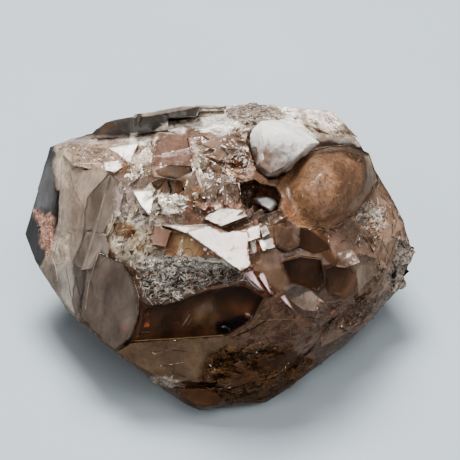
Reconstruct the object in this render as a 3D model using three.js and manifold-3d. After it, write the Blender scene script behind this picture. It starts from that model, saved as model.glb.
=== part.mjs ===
// A smoky quartz specimen about 81 mm wide: one blunt, intergrown crystal lying on a flat broken face.
// A rounded crystal has grown on its upper right, a milky one sits beside it and a small one in the pocket.
// Millimetres, +Z up. The show side faces -Y, with +X to its right. The origin is under the box's middle.
import * as THREE from "three";
import { ConvexGeometry } from "three/addons/geometries/ConvexGeometry.js";
import { mergeVertices } from "three/addons/utils/BufferGeometryUtils.js";
import Module from "manifold-3d";

const wasm = await Module();
wasm.setup();

// Driving dimensions
const SPECIMEN_WIDTH = 82;
const WIDTH_IN_PICTURE = 400; // pixels that the width takes in the picture
const VIEW_ELEVATION = THREE.MathUtils.degToRad(38);
const VIEW_DISTANCE = 420;
const PICTURE_MIDDLE = 230; // pixels, across and down
const MIDDLE_HEIGHT = 24.1; // height over the ground of what the picture's middle shows, in the middle plane
const SEAT_GAP = 0.35; // between a seated crystal and its socket
const SEAT_REACH = 3.4; // from the middle of the smallest seated crystal to its nearest face
const REACH = 60; // longer than any cut has to be
const CHIP_SEED = 20261;

// A place on the show side is [x, y, rise]: pixels of the picture, which is taken from VIEW_ELEVATION above
// the ground, and the millimetres that the place rises toward the viewer from the middle plane.
const MM_PER_PIXEL = SPECIMEN_WIDTH / WIDTH_IN_PICTURE;
const TOWARD_VIEWER = new THREE.Vector3(0, -Math.cos(VIEW_ELEVATION), Math.sin(VIEW_ELEVATION));
const PICTURE_UP = new THREE.Vector3(0, Math.sin(VIEW_ELEVATION), Math.cos(VIEW_ELEVATION));
const PICTURE_CENTRE = new THREE.Vector3(0, 0, MIDDLE_HEIGHT);

function seen([x, y, rise]) {
  const scale = MM_PER_PIXEL * (1 - rise / VIEW_DISTANCE);
  return new THREE.Vector3((x - PICTURE_MIDDLE) * scale, 0, 0)
    .add(PICTURE_CENTRE)
    .addScaledVector(PICTURE_UP, (PICTURE_MIDDLE - y) * scale)
    .addScaledVector(TOWARD_VIEWER, rise);
}

const at = ([x, y, z]) => new THREE.Vector3(x, y, z);

// The outline of the show side, from the upper left corner, clockwise
const OUTLINE = {
  upperLeftCorner: [50, 147, -4],
  upperLeftBend: [70, 139.5, -8],
  benchEnd: [96, 136, -10],
  topStep: [183, 108, -13],
  topMiddle: [250, 104, -11],
  topRight: [279, 107, -10],
  shoulder: [319, 110, -9],
  shoulderBend: [347, 126, -7],
  shoulderFoot: [361, 146, -5],
  rightUpper: [388, 196, -4],
  rightMiddle: [405, 225, -4],
  rightTip: [411, 252, -5],
  rightLower: [403, 284, -6],
  lowerRight: [382, 303, -5],
  lowerRightBend: [357, 333, -3],
  footRight: [322, 357, -3],
  footRightLower: [300, 378, 2],
  footMiddle: [262, 400, 8],
  footLeft: [228, 402, 8],
  footTip: [205, 407, 10],
  footNotch: [176, 395, 7],
  lowerLeft: [157, 383, 5],
  lowerLeftBend: [112, 350, 5],
  leftLower: [70, 314, 2],
  leftBend: [39, 269, -3],
  leftTip: [22, 242, -8],
};

// Corners between the faces turned toward the viewer
const FRONT = {
  endEdgeTop: [62, 148, 4],
  endEdgeFoot: [41, 268, -1],
  leftFaceApex: [109, 173, 14],
  leftFaceFoot: [76, 316, 7.8],
  plateCorner: [101, 254, 16.4],
  plateRight: [139, 294, 19],
  plateFoot: [131, 338, 15.5],
  upperBench: [150, 143, 3],
  pinkBench: [191, 160, 19],
  topSlope: [250, 124, 8],
  pocketBrow: [256, 180, 23],
  whiteFaceTop: [215, 226, 26.5],
  whiteFaceFoot: [243, 272, 28],
  basinCorner: [265, 304, 27],
  rightBelly: [330, 264, 22.5],
  rightCheek: [386, 244, 5],
  rightHip: [370, 290, 8],
  lowerBelly: [300, 335, 19],
  lowerMiddle: [230, 346, 21],
  lowerLeftBelly: [170, 346, 17],
  lowerLip: [205, 386, 15],
  lowerRightLip: [268, 382, 14],
};

// Corners of the far side and of the flat face it lies on, in millimetres from under the picture's centre
const FAR_SIDE = {
  crestLeft: [-30, 20, 31],
  shoulderLeft: [-35, 15, 15],
  crestMiddle: [-4, 31, 33],
  crestRight: [22, 28, 34],
  waistLeft: [-25, 30, 16],
  waistMiddle: [2, 37, 20],
  waistRight: [27, 29, 19],
  cheekRight: [35, 14, 20],
  hemLeft: [-22, 22, 4],
  hemMiddle: [6, 29, 5],
  hemRight: [26, 18, 5],
};
const BELOW_GROUND = -1.5;
const REST_FACE = {
  frontLeft: [-17, -16, BELOW_GROUND],
  front: [-7, -27, BELOW_GROUND],
  frontRight: [8, -24.5, BELOW_GROUND],
  right: [23, -8, BELOW_GROUND],
  backRight: [21, 11, BELOW_GROUND],
  back: [2, 20, BELOW_GROUND],
  backLeft: [-17, 14, BELOW_GROUND],
};

// Solids and how they are joined and cut

function solidOf(geometry) {
  const bare = geometry.clone();
  bare.deleteAttribute("normal");
  bare.deleteAttribute("uv");
  const merged = mergeVertices(bare, 1e-4);
  const vertProperties = merged.attributes.position.array;
  const triVerts = new Uint32Array(merged.index.array);
  return new wasm.Manifold(new wasm.Mesh({ numProp: 3, vertProperties, triVerts }));
}

function geometryOf(solid) {
  const { vertProperties, triVerts } = solid.getMesh();
  const geometry = new THREE.BufferGeometry();
  geometry.setAttribute("position", new THREE.BufferAttribute(vertProperties, 3));
  geometry.setIndex(new THREE.BufferAttribute(triVerts, 1));
  return geometry;
}

const hull = (points) => solidOf(new ConvexGeometry(points));
const joined = (solids) => solids.reduce((whole, solid) => whole.add(solid));
const cutFrom = (whole, solids) => solids.reduce((rest, solid) => rest.subtract(solid), whole);

function middleOf(points) {
  return points.reduce((sum, point) => sum.add(point), new THREE.Vector3()).divideScalar(points.length);
}

// The lump before any detail
function lump() {
  const shown = [...Object.values(OUTLINE), ...Object.values(FRONT)];
  const hidden = [...Object.values(FAR_SIDE), ...Object.values(REST_FACE)];
  return hull([...shown.map(seen), ...hidden.map(at)]);
}

// Where the line of sight through a pixel first meets a solid: the place, and the way its face is turned
function lookAt(solid) {
  const target = new THREE.Mesh(geometryOf(solid), new THREE.MeshBasicMaterial());
  const viewer = PICTURE_CENTRE.clone().addScaledVector(TOWARD_VIEWER, VIEW_DISTANCE);
  const ray = new THREE.Raycaster();
  return (x, y) => {
    ray.set(viewer, seen([x, y, 0]).sub(viewer).normalize());
    const hit = ray.intersectObject(target)[0];
    return hit ? { place: hit.point, normal: hit.face.normal } : null;
  };
}

const average = (values) => values.reduce((sum, value) => sum + value, 0) / values.length;
const slope = (angle) => MM_PER_PIXEL * Math.tan(THREE.MathUtils.degToRad(angle));

// A flat facet over the lump: its corners in the picture, the degrees that it is turned from facing the
// viewer to the right and to the top, and how far its middle stands proud of the lump (deep when negative)
function facet(look, { corners, turn, proud }) {
  const [x, y] = [0, 1].map((axis) => average(corners.map((corner) => corner[axis])));
  const [rightward, upward] = turn.map(slope);
  const rise = look(x, y).place.sub(PICTURE_CENTRE).dot(TOWARD_VIEWER) + proud;
  return corners.map(([cx, cy]) => seen([cx, cy, rise - (cx - x) * rightward + (cy - y) * upward]));
}

// A block between a facet and the same corners `length` further toward the viewer (or into the stone, when
// negative), where it is `spread` times as wide
function block(face, length, spread) {
  const middle = middleOf(face);
  const move = TOWARD_VIEWER.clone().multiplyScalar(length).add(middle);
  const spreadOut = (point) => point.clone().sub(middle).multiplyScalar(spread).add(move);
  return hull([...face, ...face.map(spreadOut)]);
}

// Facets of parallel growth share two directions: those that flash white, and those that flash lilac
const WHITE = [-6, 30];
const LILAC = [14, 16];

// Ledges that stand out of the show side
const LEDGES = {
  upperBand: { corners: [[62, 153], [73, 146], [111, 149], [126, 161], [107, 172], [74, 166]],
    turn: [-26, 24], proud: 0.5 },
  leftBlade: { corners: [[110, 174], [87, 198], [80, 226], [73, 262], [81, 270], [94, 234]],
    turn: [-46, 2], proud: 1.5 },
  rightBlade: { corners: [[110, 174], [124, 190], [119, 212], [106, 224], [92, 268], [81, 270],
    [94, 234]], turn: [-20, 4], proud: 2 },
  lowerBlade: { corners: [[86, 232], [105, 235], [110, 247], [108, 256], [90, 274], [73, 263], [79, 246]],
    turn: [-34, -4], proud: 2.2 },
  lowerLeftPlate: { corners: [[99, 253], [121, 262], [133, 279], [139, 297], [137, 322], [130, 338],
    [114, 351], [96, 335], [80, 317], [87, 273]], turn: [-27, -14], proud: 1.3 },
  whiteTriangle: { corners: [[110, 149], [138, 144], [129, 161]], turn: WHITE, proud: 1.1 },
  whiteCap: { corners: [[105, 163], [119, 161], [122, 167], [115, 172], [106, 170]], turn: WHITE,
    proud: 1.3 },
  paleRidge: { corners: [[128, 164], [150, 141], [153, 152], [150, 172], [142, 177]], turn: [-24, 20],
    proud: 1 },
  pinkBlock: { corners: [[152, 134], [160, 132], [188, 134], [194, 156], [190, 163], [153, 164]],
    turn: [4, 14], proud: 1.8 },
  whiteWedge: { corners: [[134, 192], [149, 191], [153, 198], [150, 216], [141, 205]], turn: WHITE,
    proud: 1.5 },
  glitterBlock: { corners: [[158, 197], [170, 193], [184, 200], [182, 213], [165, 214]], turn: [8, 24],
    proud: 1.4 },
  petalLeft: { corners: [[190, 196], [204, 188], [213, 197], [206, 210], [192, 206]], turn: [-20, 8],
    proud: 1.8 },
  petalMiddle: { corners: [[206, 186], [222, 182], [229, 196], [220, 211], [208, 206]], turn: [0, 14],
    proud: 2 },
  petalRight: { corners: [[224, 184], [237, 183], [241, 196], [233, 209], [224, 204]], turn: [22, 4],
    proud: 1.8 },
  upperFacet: { corners: [[204, 218], [220, 208], [243, 210], [247, 216], [221, 226]], turn: WHITE,
    proud: 1.6 },
  whiteFace: { corners: [[187, 232], [211, 224], [228, 234], [247, 233], [246, 250], [250, 265],
    [241, 271]], turn: WHITE, proud: 2.2 },
  whiteTail: { corners: [[162, 225], [190, 226], [199, 232], [187, 233]], turn: WHITE, proud: 1 },
  whiteWing: { corners: [[226, 235], [259, 225], [260, 237], [247, 242]], turn: WHITE, proud: 1.6 },
  whiteSquare: { corners: [[259, 241], [272, 238], [275, 247], [263, 251]], turn: WHITE, proud: 1.4 },
  whiteChip: { corners: [[260, 229], [266, 226], [270, 233], [263, 237]], turn: WHITE, proud: 1.2 },
  paleStub: { corners: [[155, 226], [172, 231], [167, 247], [152, 244]], turn: [-14, 4], proud: 2.4 },
  greyShard: { corners: [[274, 226], [296, 228], [300, 246], [286, 252], [276, 246]], turn: [16, 6],
    proud: 1 },
  sliverLeft: { corners: [[244, 274], [254, 271], [266, 292]], turn: LILAC, proud: 1.4 },
  sliverMiddle: { corners: [[258, 276], [264, 273], [273, 296]], turn: LILAC, proud: 1.3 },
  sliverRight: { corners: [[280, 297], [285, 295], [295, 312]], turn: LILAC, proud: 1.2 },
  lilacFace: { corners: [[284, 289], [295, 284], [312, 292], [323, 302], [317, 311], [304, 310],
    [292, 302]], turn: LILAC, proud: 0.9 },
  lilacChip: { corners: [[376, 258], [379, 257], [388, 267], [379, 269]], turn: LILAC, proud: 1 },
  shoulderFacet: { corners: [[318, 139], [340, 133], [354, 138], [361, 148], [346, 145]], turn: [14, 34],
    proud: 0.9 },
  saddleFacet: { corners: [[330, 254], [352, 250], [360, 262], [344, 268], [326, 264]], turn: [10, 30],
    proud: 1 },
  rightRidge: { corners: [[340, 234], [362, 222], [384, 236], [376, 258], [352, 252]], turn: [30, 22],
    proud: 1 },
  rightLobe: { corners: [[386, 252], [400, 236], [409, 242], [414, 252], [411, 262], [394, 268]],
    turn: [40, 4], proud: 1 },
  rightTooth: { corners: [[382, 276], [402, 274], [407, 284], [404, 288], [386, 294]], turn: [38, -10],
    proud: 0.8 },
  lowerTooth: { corners: [[350, 316], [370, 306], [374, 318], [358, 332], [346, 334]], turn: [34, -20],
    proud: 0.8 },
  lowerShelf: { corners: [[131, 344], [184, 339], [227, 337], [226, 350], [198, 377], [176, 383],
    [156, 376], [118, 352]], turn: [-8, -32], proud: 1.1 },
  lowerStep: { corners: [[288, 346], [314, 352], [314, 362], [298, 378], [282, 372]], turn: [26, -16],
    proud: 0.9 },
  hipFacet: { corners: [[318, 322], [350, 300], [362, 312], [346, 334], [322, 346]], turn: [24, -12],
    proud: 0.7 },
  footBoulder: { corners: [[174, 390], [186, 387], [202, 388], [217, 394], [221, 400], [212, 406],
    [194, 403]], turn: [-6, -14], proud: 1.6 },
};
const LEDGE_ROOT = 6;
const LEDGE_SPREAD = 1.04;

// Dark blocks of parallel growth behind the upper left edge, each a step higher than the last
const STEPS = {
  stepFoot: [[91, 138, 1], [92, 133.5, 1.6], [97, 128.5, 2.4], [102, 129, 2.4], [102, 139, 1]],
  stepOne: [[97, 138, 3], [98, 128.5, 4.4], [105.5, 122.5, 5.4], [116, 119.5, 5.8], [134, 116.5, 6.2],
    [138, 137, 3.2]],
  stepTwo: [[133, 134, 6], [134, 114.5, 8.8], [155, 111.5, 9.4], [167, 116, 9], [168, 130, 7]],
  stepThree: [[154, 118, 3], [156, 111, 4], [184, 106, 5], [200, 106.5, 5], [196, 116, 3.4]],
  stepFour: [[192, 112, -3], [196, 105, -2], [217, 105.5, -2], [224, 110, -3]],
};
const STEP_DEPTH = 17;

// Hollows in the show side; they widen toward the viewer
const HOLLOWS = {
  brownBasin: { corners: [[146, 308], [163, 306], [184, 300], [205, 292], [224, 287], [243, 286],
    [260, 297], [250, 317], [226, 332], [138, 340]], turn: [-6, -12], proud: -5.2, spread: 1.12 },
  basinPit: { corners: [[219, 324], [236, 318], [247, 315], [244, 322], [228, 331]], turn: [-10, -8],
    proud: -8, spread: 1.25 },
  honeyFacet: { corners: [[171, 232], [187, 234], [211, 250], [222, 258], [196, 257], [164, 254]],
    turn: [-20, 12], proud: -1.6, spread: 1.02 },
  darkPocket: { corners: [[241, 186], [254, 183], [263, 190], [264, 206], [253, 211], [244, 203]],
    turn: [0, 0], proud: -13, spread: 1.3 },
  pocketArm: { corners: [[260, 186], [274, 188], [280, 198], [276, 210], [264, 213], [258, 204]],
    turn: [0, 0], proud: -10, spread: 1.25 },
  orangePocket: { corners: [[325, 269], [331, 266], [350, 268], [355, 275], [352, 290], [345, 296],
    [331, 295], [324, 288]], turn: [10, -6], proud: -3, spread: 1.06 },
  oliveFacet: { corners: [[282, 262], [300, 257], [321, 260], [324, 284], [318, 290], [292, 284]],
    turn: [12, -14], proud: -2.2, spread: 1.05 },
  darkWedge: { corners: [[300, 227], [314, 230], [325, 238], [331, 250], [314, 254], [299, 248]],
    turn: [4, -16], proud: -2, spread: 1.04 },
  underBench: { corners: [[153, 166], [172, 165], [191, 166], [193, 172], [176, 180], [158, 176]],
    turn: [0, -30], proud: -1.6, spread: 1.04 },
  brownLobe: { corners: [[151, 183], [163, 178], [181, 181], [185, 190], [172, 198], [157, 193]],
    turn: [-8, -10], proud: -2.2, spread: 1.1 },
  fibreBand: { corners: [[134, 270], [152, 262], [178, 260], [222, 262], [240, 274], [236, 281],
    [204, 284], [182, 294], [160, 300], [146, 300]], turn: [-8, -16], proud: -1.2, spread: 1.03 },
  brownStripe: { corners: [[222, 229], [246, 219], [252, 222], [228, 232]], turn: [-6, 0], proud: -1,
    spread: 1.05 },
  brokenTop: { corners: [[198, 140], [246, 134], [250, 156], [244, 176], [206, 180], [198, 162]],
    turn: [4, 20], proud: -2, spread: 1.06 },
  rightScoop: { corners: [[352, 296], [374, 276], [384, 288], [366, 312]], turn: [20, -8], proud: -2,
    spread: 1.15 },
  tawnyScoop: { corners: [[352, 216], [372, 198], [386, 210], [380, 226], [360, 226]], turn: [30, 10],
    proud: -1.4, spread: 1.1 },
  lowerHollow: { corners: [[214, 356], [250, 346], [284, 352], [294, 368], [252, 376], [212, 368]],
    turn: [2, -26], proud: -1.8, spread: 1.08 },
  footGroove: { corners: [[160, 384], [188, 383], [214, 380], [226, 388], [206, 388], [176, 388]],
    turn: [0, -20], proud: -1.8, spread: 1.05 },
};
const HOLLOW_REACH = 20;

// The rounded crystal: its rim where it meets the stone, the corners of its facets, and its hidden root
const ROUNDED_CRYSTAL = [
  [278, 184, 11], [278, 198, 11.6], [284, 213, 12.6], [300, 224, 13.6], [319, 229, 14], [334, 225, 13],
  [354, 213, 9], [369, 193, 5], [375.5, 181, 1.4], [375, 170, 0], [369, 153, 0], [347, 144, 3],
  [318, 147, 7], [306, 153, 9], [288, 172, 11], [288, 186, 18], [288, 199, 19], [296, 212, 20],
  [312, 220, 20], [330, 219, 19], [347, 209, 17], [359, 193, 14], [365, 178, 11.4], [364, 158, 9],
  [347, 150, 11.4], [322, 152, 15], [306, 162, 16.6], [306, 188, 22.6], [322, 174, 22], [340, 182, 20.6],
  [334, 200, 21.6], [316, 206, 22.8], [300, 200, -4], [350, 200, -8], [350, 165, -8], [305, 165, -4],
];
const ROUNDED_LEDGE = [
  [296, 218, 17], [310, 226, 17.6], [322, 231, 17.4], [338, 227, 16], [352, 217, 13], [340, 218, 17],
  [312, 217, 19], [310, 212, 6], [340, 210, 6],
];

const MILKY_CRYSTAL = [
  [248, 140, 12], [252, 130, 10.6], [260, 120.5, 9], [283, 120, 8.6], [295, 125, 9.4], [306, 135, 11],
  [319.5, 142.5, 11.4], [308, 153, 13.6], [295, 165, 15.6], [287, 173, 16.6], [277, 178, 17.6],
  [264, 178, 18.6], [256, 170, 18], [255, 158, 16.4], [262, 130, 15.4], [276, 125, 14], [292, 130, 15],
  [304, 139, 16.6], [312, 143, 15.4], [299, 154, 19.4], [286, 166, 21.2], [270, 174, 21.8],
  [261, 167, 21.4], [257, 150, 19.2], [272, 142, 20.6], [290, 145, 20.4], [264, 136, 2], [296, 136, 2],
  [290, 158, 5], [266, 166, 6],
];

const POCKET_CRYSTAL = [
  [253, 199, 15], [263, 195, 15], [274, 199, 15.4], [277, 204, 16], [271, 211, 18], [261, 206, 17.4],
  [258, 200, 18], [266, 198, 17.6], [273, 203, 18.4], [269, 208, 19.6], [262, 205, 19.4], [260, 201, 3],
  [270, 201, 3], [266, 208, 5],
];

// The socket of a seated crystal: the same corners, moved out from its middle by the gap
function socket(crystal) {
  const corners = crystal.map(seen);
  const middle = middleOf(corners);
  const growth = 1 + SEAT_GAP / SEAT_REACH;
  return hull(corners.map((corner) => corner.clone().sub(middle).multiplyScalar(growth).add(middle)));
}

// The far side's faces. Each is square to `normal`, `distance` from the origin, and growth terraces lower it
// by a step beyond each of the edges, which are crossed going `along`.
const FAR_FACES = [
  { normal: [-0.29, 0.9, 0.31], distance: 39.6, along: [-1, 0, -0.25], edges: [2, 9, 14, 24], step: 0.8 },
  { normal: [-0.81, 0.59, -0.02], distance: 37.8, along: [-0.2, 0, -1], edges: [-26, -17, -9], step: 0.7 },
  { normal: [0.31, 0.94, 0.16], distance: 38.7, along: [1, 0, -0.2], edges: [12, 17, 26], step: 0.8 },
  { normal: [-0.17, 0.83, -0.54], distance: 20.9, along: [-1, 0, 0.3], edges: [-6, 4, 12], step: 0.7 },
  { normal: [0.84, 0.38, -0.39], distance: 26.9, along: [0, 1, 0.4], edges: [8, 16], step: 0.7 },
  { normal: [-0.58, 0.03, -0.81], distance: 11.8, along: [-0.8, -0.5, 0.6], edges: [10, 19, 28], step: 0.8 },
];

// Everything beyond a plane, as a large block. It starts at `edge`, going `along`.
function beyond(normal, distance, along, edge) {
  const side = along.clone().addScaledVector(normal, -along.dot(normal)).normalize();
  const third = new THREE.Vector3().crossVectors(normal, side);
  const middle = normal.clone().multiplyScalar(distance + REACH).addScaledVector(side, edge + REACH);
  const room = new THREE.BoxGeometry(2 * REACH, 3 * REACH, 2 * REACH);
  room.applyMatrix4(new THREE.Matrix4().makeBasis(side, third, normal).setPosition(middle));
  return solidOf(room);
}

function farCuts() {
  return FAR_FACES.flatMap(({ normal, distance, along, edges, step }) => {
    const square = at(normal).normalize();
    const whole = beyond(square, distance, at(along), -REACH);
    return [whole, ...edges.map((edge, i) => beyond(square, distance - step * (i + 1), at(along), edge))];
  });
}

// Rough ground: chips in a stretch of the show side. Each is a flat splinter whose length lies within
// `scatter` degrees of `grain`, an angle in the picture that is counted from the right, upward.
const ROUGH_GROUND = {
  fibreBand: { stretch: [[136, 264], [160, 258], [222, 261], [241, 274], [240, 283], [204, 290],
    [164, 302], [146, 298]], chips: 44, size: 1.3, grain: 12, scatter: 22 },
  glitterPatch: { stretch: [[118, 184], [140, 176], [160, 190], [186, 198], [182, 216], [150, 224],
    [120, 216]], chips: 22, size: 1.4, grain: 60, scatter: 50 },
  brokenTop: { stretch: [[196, 124], [250, 112], [252, 130], [248, 178], [204, 182], [196, 150]],
    chips: 32, size: 1.6, grain: 150, scatter: 60 },
  rustyPetals: { stretch: [[188, 188], [238, 182], [242, 200], [226, 212], [192, 208]], chips: 8,
    size: 1.3, grain: 80, scatter: 40 },
  topRight: { stretch: [[270, 109], [318, 113], [350, 132], [338, 140], [310, 130], [268, 116]],
    chips: 14, size: 1.3, grain: -30, scatter: 40 },
  paleSeam: { stretch: [[112, 240], [134, 232], [152, 248], [162, 260], [138, 268], [118, 256]],
    chips: 12, size: 1.3, grain: 40, scatter: 40 },
  pocketWalls: { stretch: [[242, 206], [256, 212], [276, 214], [290, 226], [262, 226], [244, 214]],
    chips: 8, size: 1.2, grain: 70, scatter: 50 },
  rightSide: { stretch: [[374, 200], [388, 206], [404, 240], [408, 262], [392, 286], [372, 272],
    [362, 236]], chips: 20, size: 1.6, grain: -60, scatter: 25 },
  lowerRight: { stretch: [[340, 304], [380, 292], [366, 318], [330, 346], [308, 352], [306, 330]],
    chips: 14, size: 1.7, grain: 40, scatter: 25 },
  footGround: { stretch: [[206, 356], [262, 344], [298, 354], [298, 372], [262, 396], [226, 398],
    [204, 384]], chips: 30, size: 1.8, grain: 14, scatter: 26 },
};
const SHARE_RAISED = 0.6; // of the chips; the others are cut out

function randomFrom(seed) {
  let state = seed;
  return () => {
    state = (state + 0x6d2b79f5) | 0;
    let mixed = Math.imul(state ^ (state >>> 15), 1 | state);
    mixed = (mixed + Math.imul(mixed ^ (mixed >>> 7), 61 | mixed)) ^ mixed;
    return ((mixed ^ (mixed >>> 14)) >>> 0) / 2 ** 32;
  };
}

function isInside(corners, x, y) {
  let inside = false;
  corners.forEach(([ax, ay], i) => {
    const [bx, by] = corners[(i + 1) % corners.length];
    if (ay > y !== by > y && x < ((bx - ax) * (y - ay)) / (by - ay) + ax) inside = !inside;
  });
  return inside;
}

function placeWithin(stretch, random) {
  const [xs, ys] = [0, 1].map((axis) => stretch.map((corner) => corner[axis]));
  for (;;) {
    const x = Math.min(...xs) + random() * (Math.max(...xs) - Math.min(...xs));
    const y = Math.min(...ys) + random() * (Math.max(...ys) - Math.min(...ys));
    if (isInside(stretch, x, y)) return [x, y];
  }
}

function splinter({ place, normal }, size, angle, random) {
  const grain = new THREE.Vector3(Math.cos(angle), 0, 0).addScaledVector(PICTURE_UP, Math.sin(angle));
  const long = grain.addScaledVector(normal, -grain.dot(normal)).normalize();
  const lean = (random() - 0.5) * 1.6;
  const thin = normal.clone().applyAxisAngle(long, lean);
  const broad = new THREE.Vector3().crossVectors(thin, long);
  const shape = new THREE.OctahedronGeometry(size);
  shape.scale(1.1 + 0.9 * random(), 0.6 + 0.4 * random(), 0.4 + 0.25 * random());
  shape.applyMatrix4(new THREE.Matrix4().makeBasis(long, broad, thin).setPosition(place));
  return solidOf(shape);
}

function roughened(stone) {
  const random = randomFrom(CHIP_SEED);
  const look = lookAt(stone);
  const raised = [];
  const sunk = [];
  for (const { stretch, chips, size, grain, scatter } of Object.values(ROUGH_GROUND)) {
    for (let made = 0; made < chips; made += 1) {
      const spot = look(...placeWithin(stretch, random));
      const angle = THREE.MathUtils.degToRad(grain + (random() - 0.5) * 2 * scatter);
      const chip = splinter(spot, size * (0.65 + 0.6 * random()), angle, random);
      (random() < SHARE_RAISED ? raised : sunk).push(chip);
    }
  }
  return cutFrom(stone.add(joined(raised)), sunk);
}

function largestBody(solid) {
  return solid.decompose().reduce((best, body) => (body.volume() > best.volume() ? body : best));
}

function smokyQuartz() {
  const plain = lump();
  const look = lookAt(plain);
  const ledge = (form) => block(facet(look, form), -LEDGE_ROOT, LEDGE_SPREAD);
  const hollow = (form) => block(facet(look, form), HOLLOW_REACH, form.spread);
  const ledges = Object.values(LEDGES).map(ledge);
  const steps = Object.values(STEPS).map((step) => block(step.map(seen), -STEP_DEPTH, 1));
  const hollows = Object.values(HOLLOWS).map(hollow);
  const rounded = hull(ROUNDED_CRYSTAL.map(seen)).add(hull(ROUNDED_LEDGE.map(seen)));
  const stone = cutFrom(cutFrom(joined([plain, ...ledges, ...steps]), farCuts()), hollows).add(rounded);
  const ground = beyond(new THREE.Vector3(0, 0, -1), 0, new THREE.Vector3(1, 0, 0), -REACH);
  return largestBody(cutFrom(roughened(stone), [socket(MILKY_CRYSTAL), socket(POCKET_CRYSTAL), ground]));
}

// The finished pieces, moved so that the origin is under the middle of the whole

const smokyFinish = { color: 0x6b5344, roughness: 0.12, metalness: 0, flatShading: true };
const milkyFinish = { color: 0xe4dcd4, roughness: 0.4, metalness: 0, flatShading: true };

const pieces = {
  smoky_quartz_crystal: { solid: smokyQuartz(), finish: smokyFinish },
  milky_crystal: { solid: hull(MILKY_CRYSTAL.map(seen)), finish: milkyFinish },
  pocket_crystal: { solid: hull(POCKET_CRYSTAL.map(seen)), finish: milkyFinish },
};

const specimen = new THREE.Group();
for (const [name, { solid, finish }] of Object.entries(pieces)) {
  const mesh = new THREE.Mesh(geometryOf(solid), new THREE.MeshStandardMaterial(finish));
  mesh.name = name;
  specimen.add(mesh);
}
const box = new THREE.Box3().setFromObject(specimen);
const middle = box.getCenter(new THREE.Vector3());
specimen.position.set(-middle.x, -middle.y, -box.min.z);

export default specimen;
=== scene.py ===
"""The looks of a smoky quartz specimen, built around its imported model. Metres, +Z up, show side facing -Y."""
import math
import random

import bmesh
import bpy
import numpy as np
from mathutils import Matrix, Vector, kdtree, noise
from mathutils.bvhtree import BVHTree


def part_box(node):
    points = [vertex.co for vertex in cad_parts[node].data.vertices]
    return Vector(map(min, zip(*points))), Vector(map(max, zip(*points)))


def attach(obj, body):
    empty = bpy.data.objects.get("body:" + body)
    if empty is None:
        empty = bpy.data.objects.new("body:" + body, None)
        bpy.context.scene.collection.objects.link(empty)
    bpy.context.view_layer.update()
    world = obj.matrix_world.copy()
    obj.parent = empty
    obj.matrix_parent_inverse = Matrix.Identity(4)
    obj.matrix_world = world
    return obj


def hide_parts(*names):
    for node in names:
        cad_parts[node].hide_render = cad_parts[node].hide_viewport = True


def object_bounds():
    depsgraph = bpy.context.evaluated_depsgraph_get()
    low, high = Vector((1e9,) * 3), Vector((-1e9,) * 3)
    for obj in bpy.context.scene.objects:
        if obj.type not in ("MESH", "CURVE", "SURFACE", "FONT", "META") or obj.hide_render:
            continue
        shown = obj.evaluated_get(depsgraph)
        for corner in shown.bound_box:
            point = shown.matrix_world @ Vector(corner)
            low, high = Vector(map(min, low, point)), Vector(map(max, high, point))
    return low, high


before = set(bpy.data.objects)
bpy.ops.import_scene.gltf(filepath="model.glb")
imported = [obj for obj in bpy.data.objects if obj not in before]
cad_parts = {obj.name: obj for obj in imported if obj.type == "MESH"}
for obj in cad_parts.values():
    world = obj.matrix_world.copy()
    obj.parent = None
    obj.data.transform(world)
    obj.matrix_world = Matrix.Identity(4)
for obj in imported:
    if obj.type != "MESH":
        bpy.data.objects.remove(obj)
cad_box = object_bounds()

MM = 0.001

# The picture that places on the show side are given in: pixels across and down, taken from this camera
PICTURE_SIZE = 460
PICTURE_MIDDLE = 230
MM_PER_PIXEL = 82 / 400
VIEW_ELEVATION = math.radians(38)
VIEW_DISTANCE = 420 * MM
MILKY_TO_CENTRE = Vector((-10.716, 0.123, -20.04)) * MM  # from the milky crystal's middle to the picture's

TOWARD_VIEWER = np.array((0, -math.cos(VIEW_ELEVATION), math.sin(VIEW_ELEVATION)))
PICTURE_UP = np.array((0, math.sin(VIEW_ELEVATION), math.cos(VIEW_ELEVATION)))
low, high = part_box("milky_crystal")
PICTURE_CENTRE = np.array((Vector(low) + Vector(high)) / 2 + MILKY_TO_CENTRE)


def seen(x, y, rise):
    """The place that pixel (x, y) shows when it rises that many millimetres from the middle plane."""
    scale = MM_PER_PIXEL * MM * (1 - rise * MM / VIEW_DISTANCE)
    across = np.array(((x - PICTURE_MIDDLE) * scale, 0, 0))
    return PICTURE_CENTRE + across + PICTURE_UP * (PICTURE_MIDDLE - y) * scale + TOWARD_VIEWER * rise * MM


def in_picture(points):
    """Pixels across, pixels down and rise in millimetres of an array of places."""
    away = points - PICTURE_CENTRE
    rise = away @ TOWARD_VIEWER
    scale = MM_PER_PIXEL * MM * (1 - rise / VIEW_DISTANCE)
    return PICTURE_MIDDLE + away[:, 0] / scale, PICTURE_MIDDLE - away @ PICTURE_UP / scale, rise / MM


# Colours, as sRGB hex

def linear(code):
    channels = [int(code[i:i + 2], 16) / 255 for i in (0, 2, 4)]
    return tuple(c / 12.92 if c <= 0.04045 else ((c + 0.055) / 1.055) ** 2.4 for c in channels)


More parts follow.
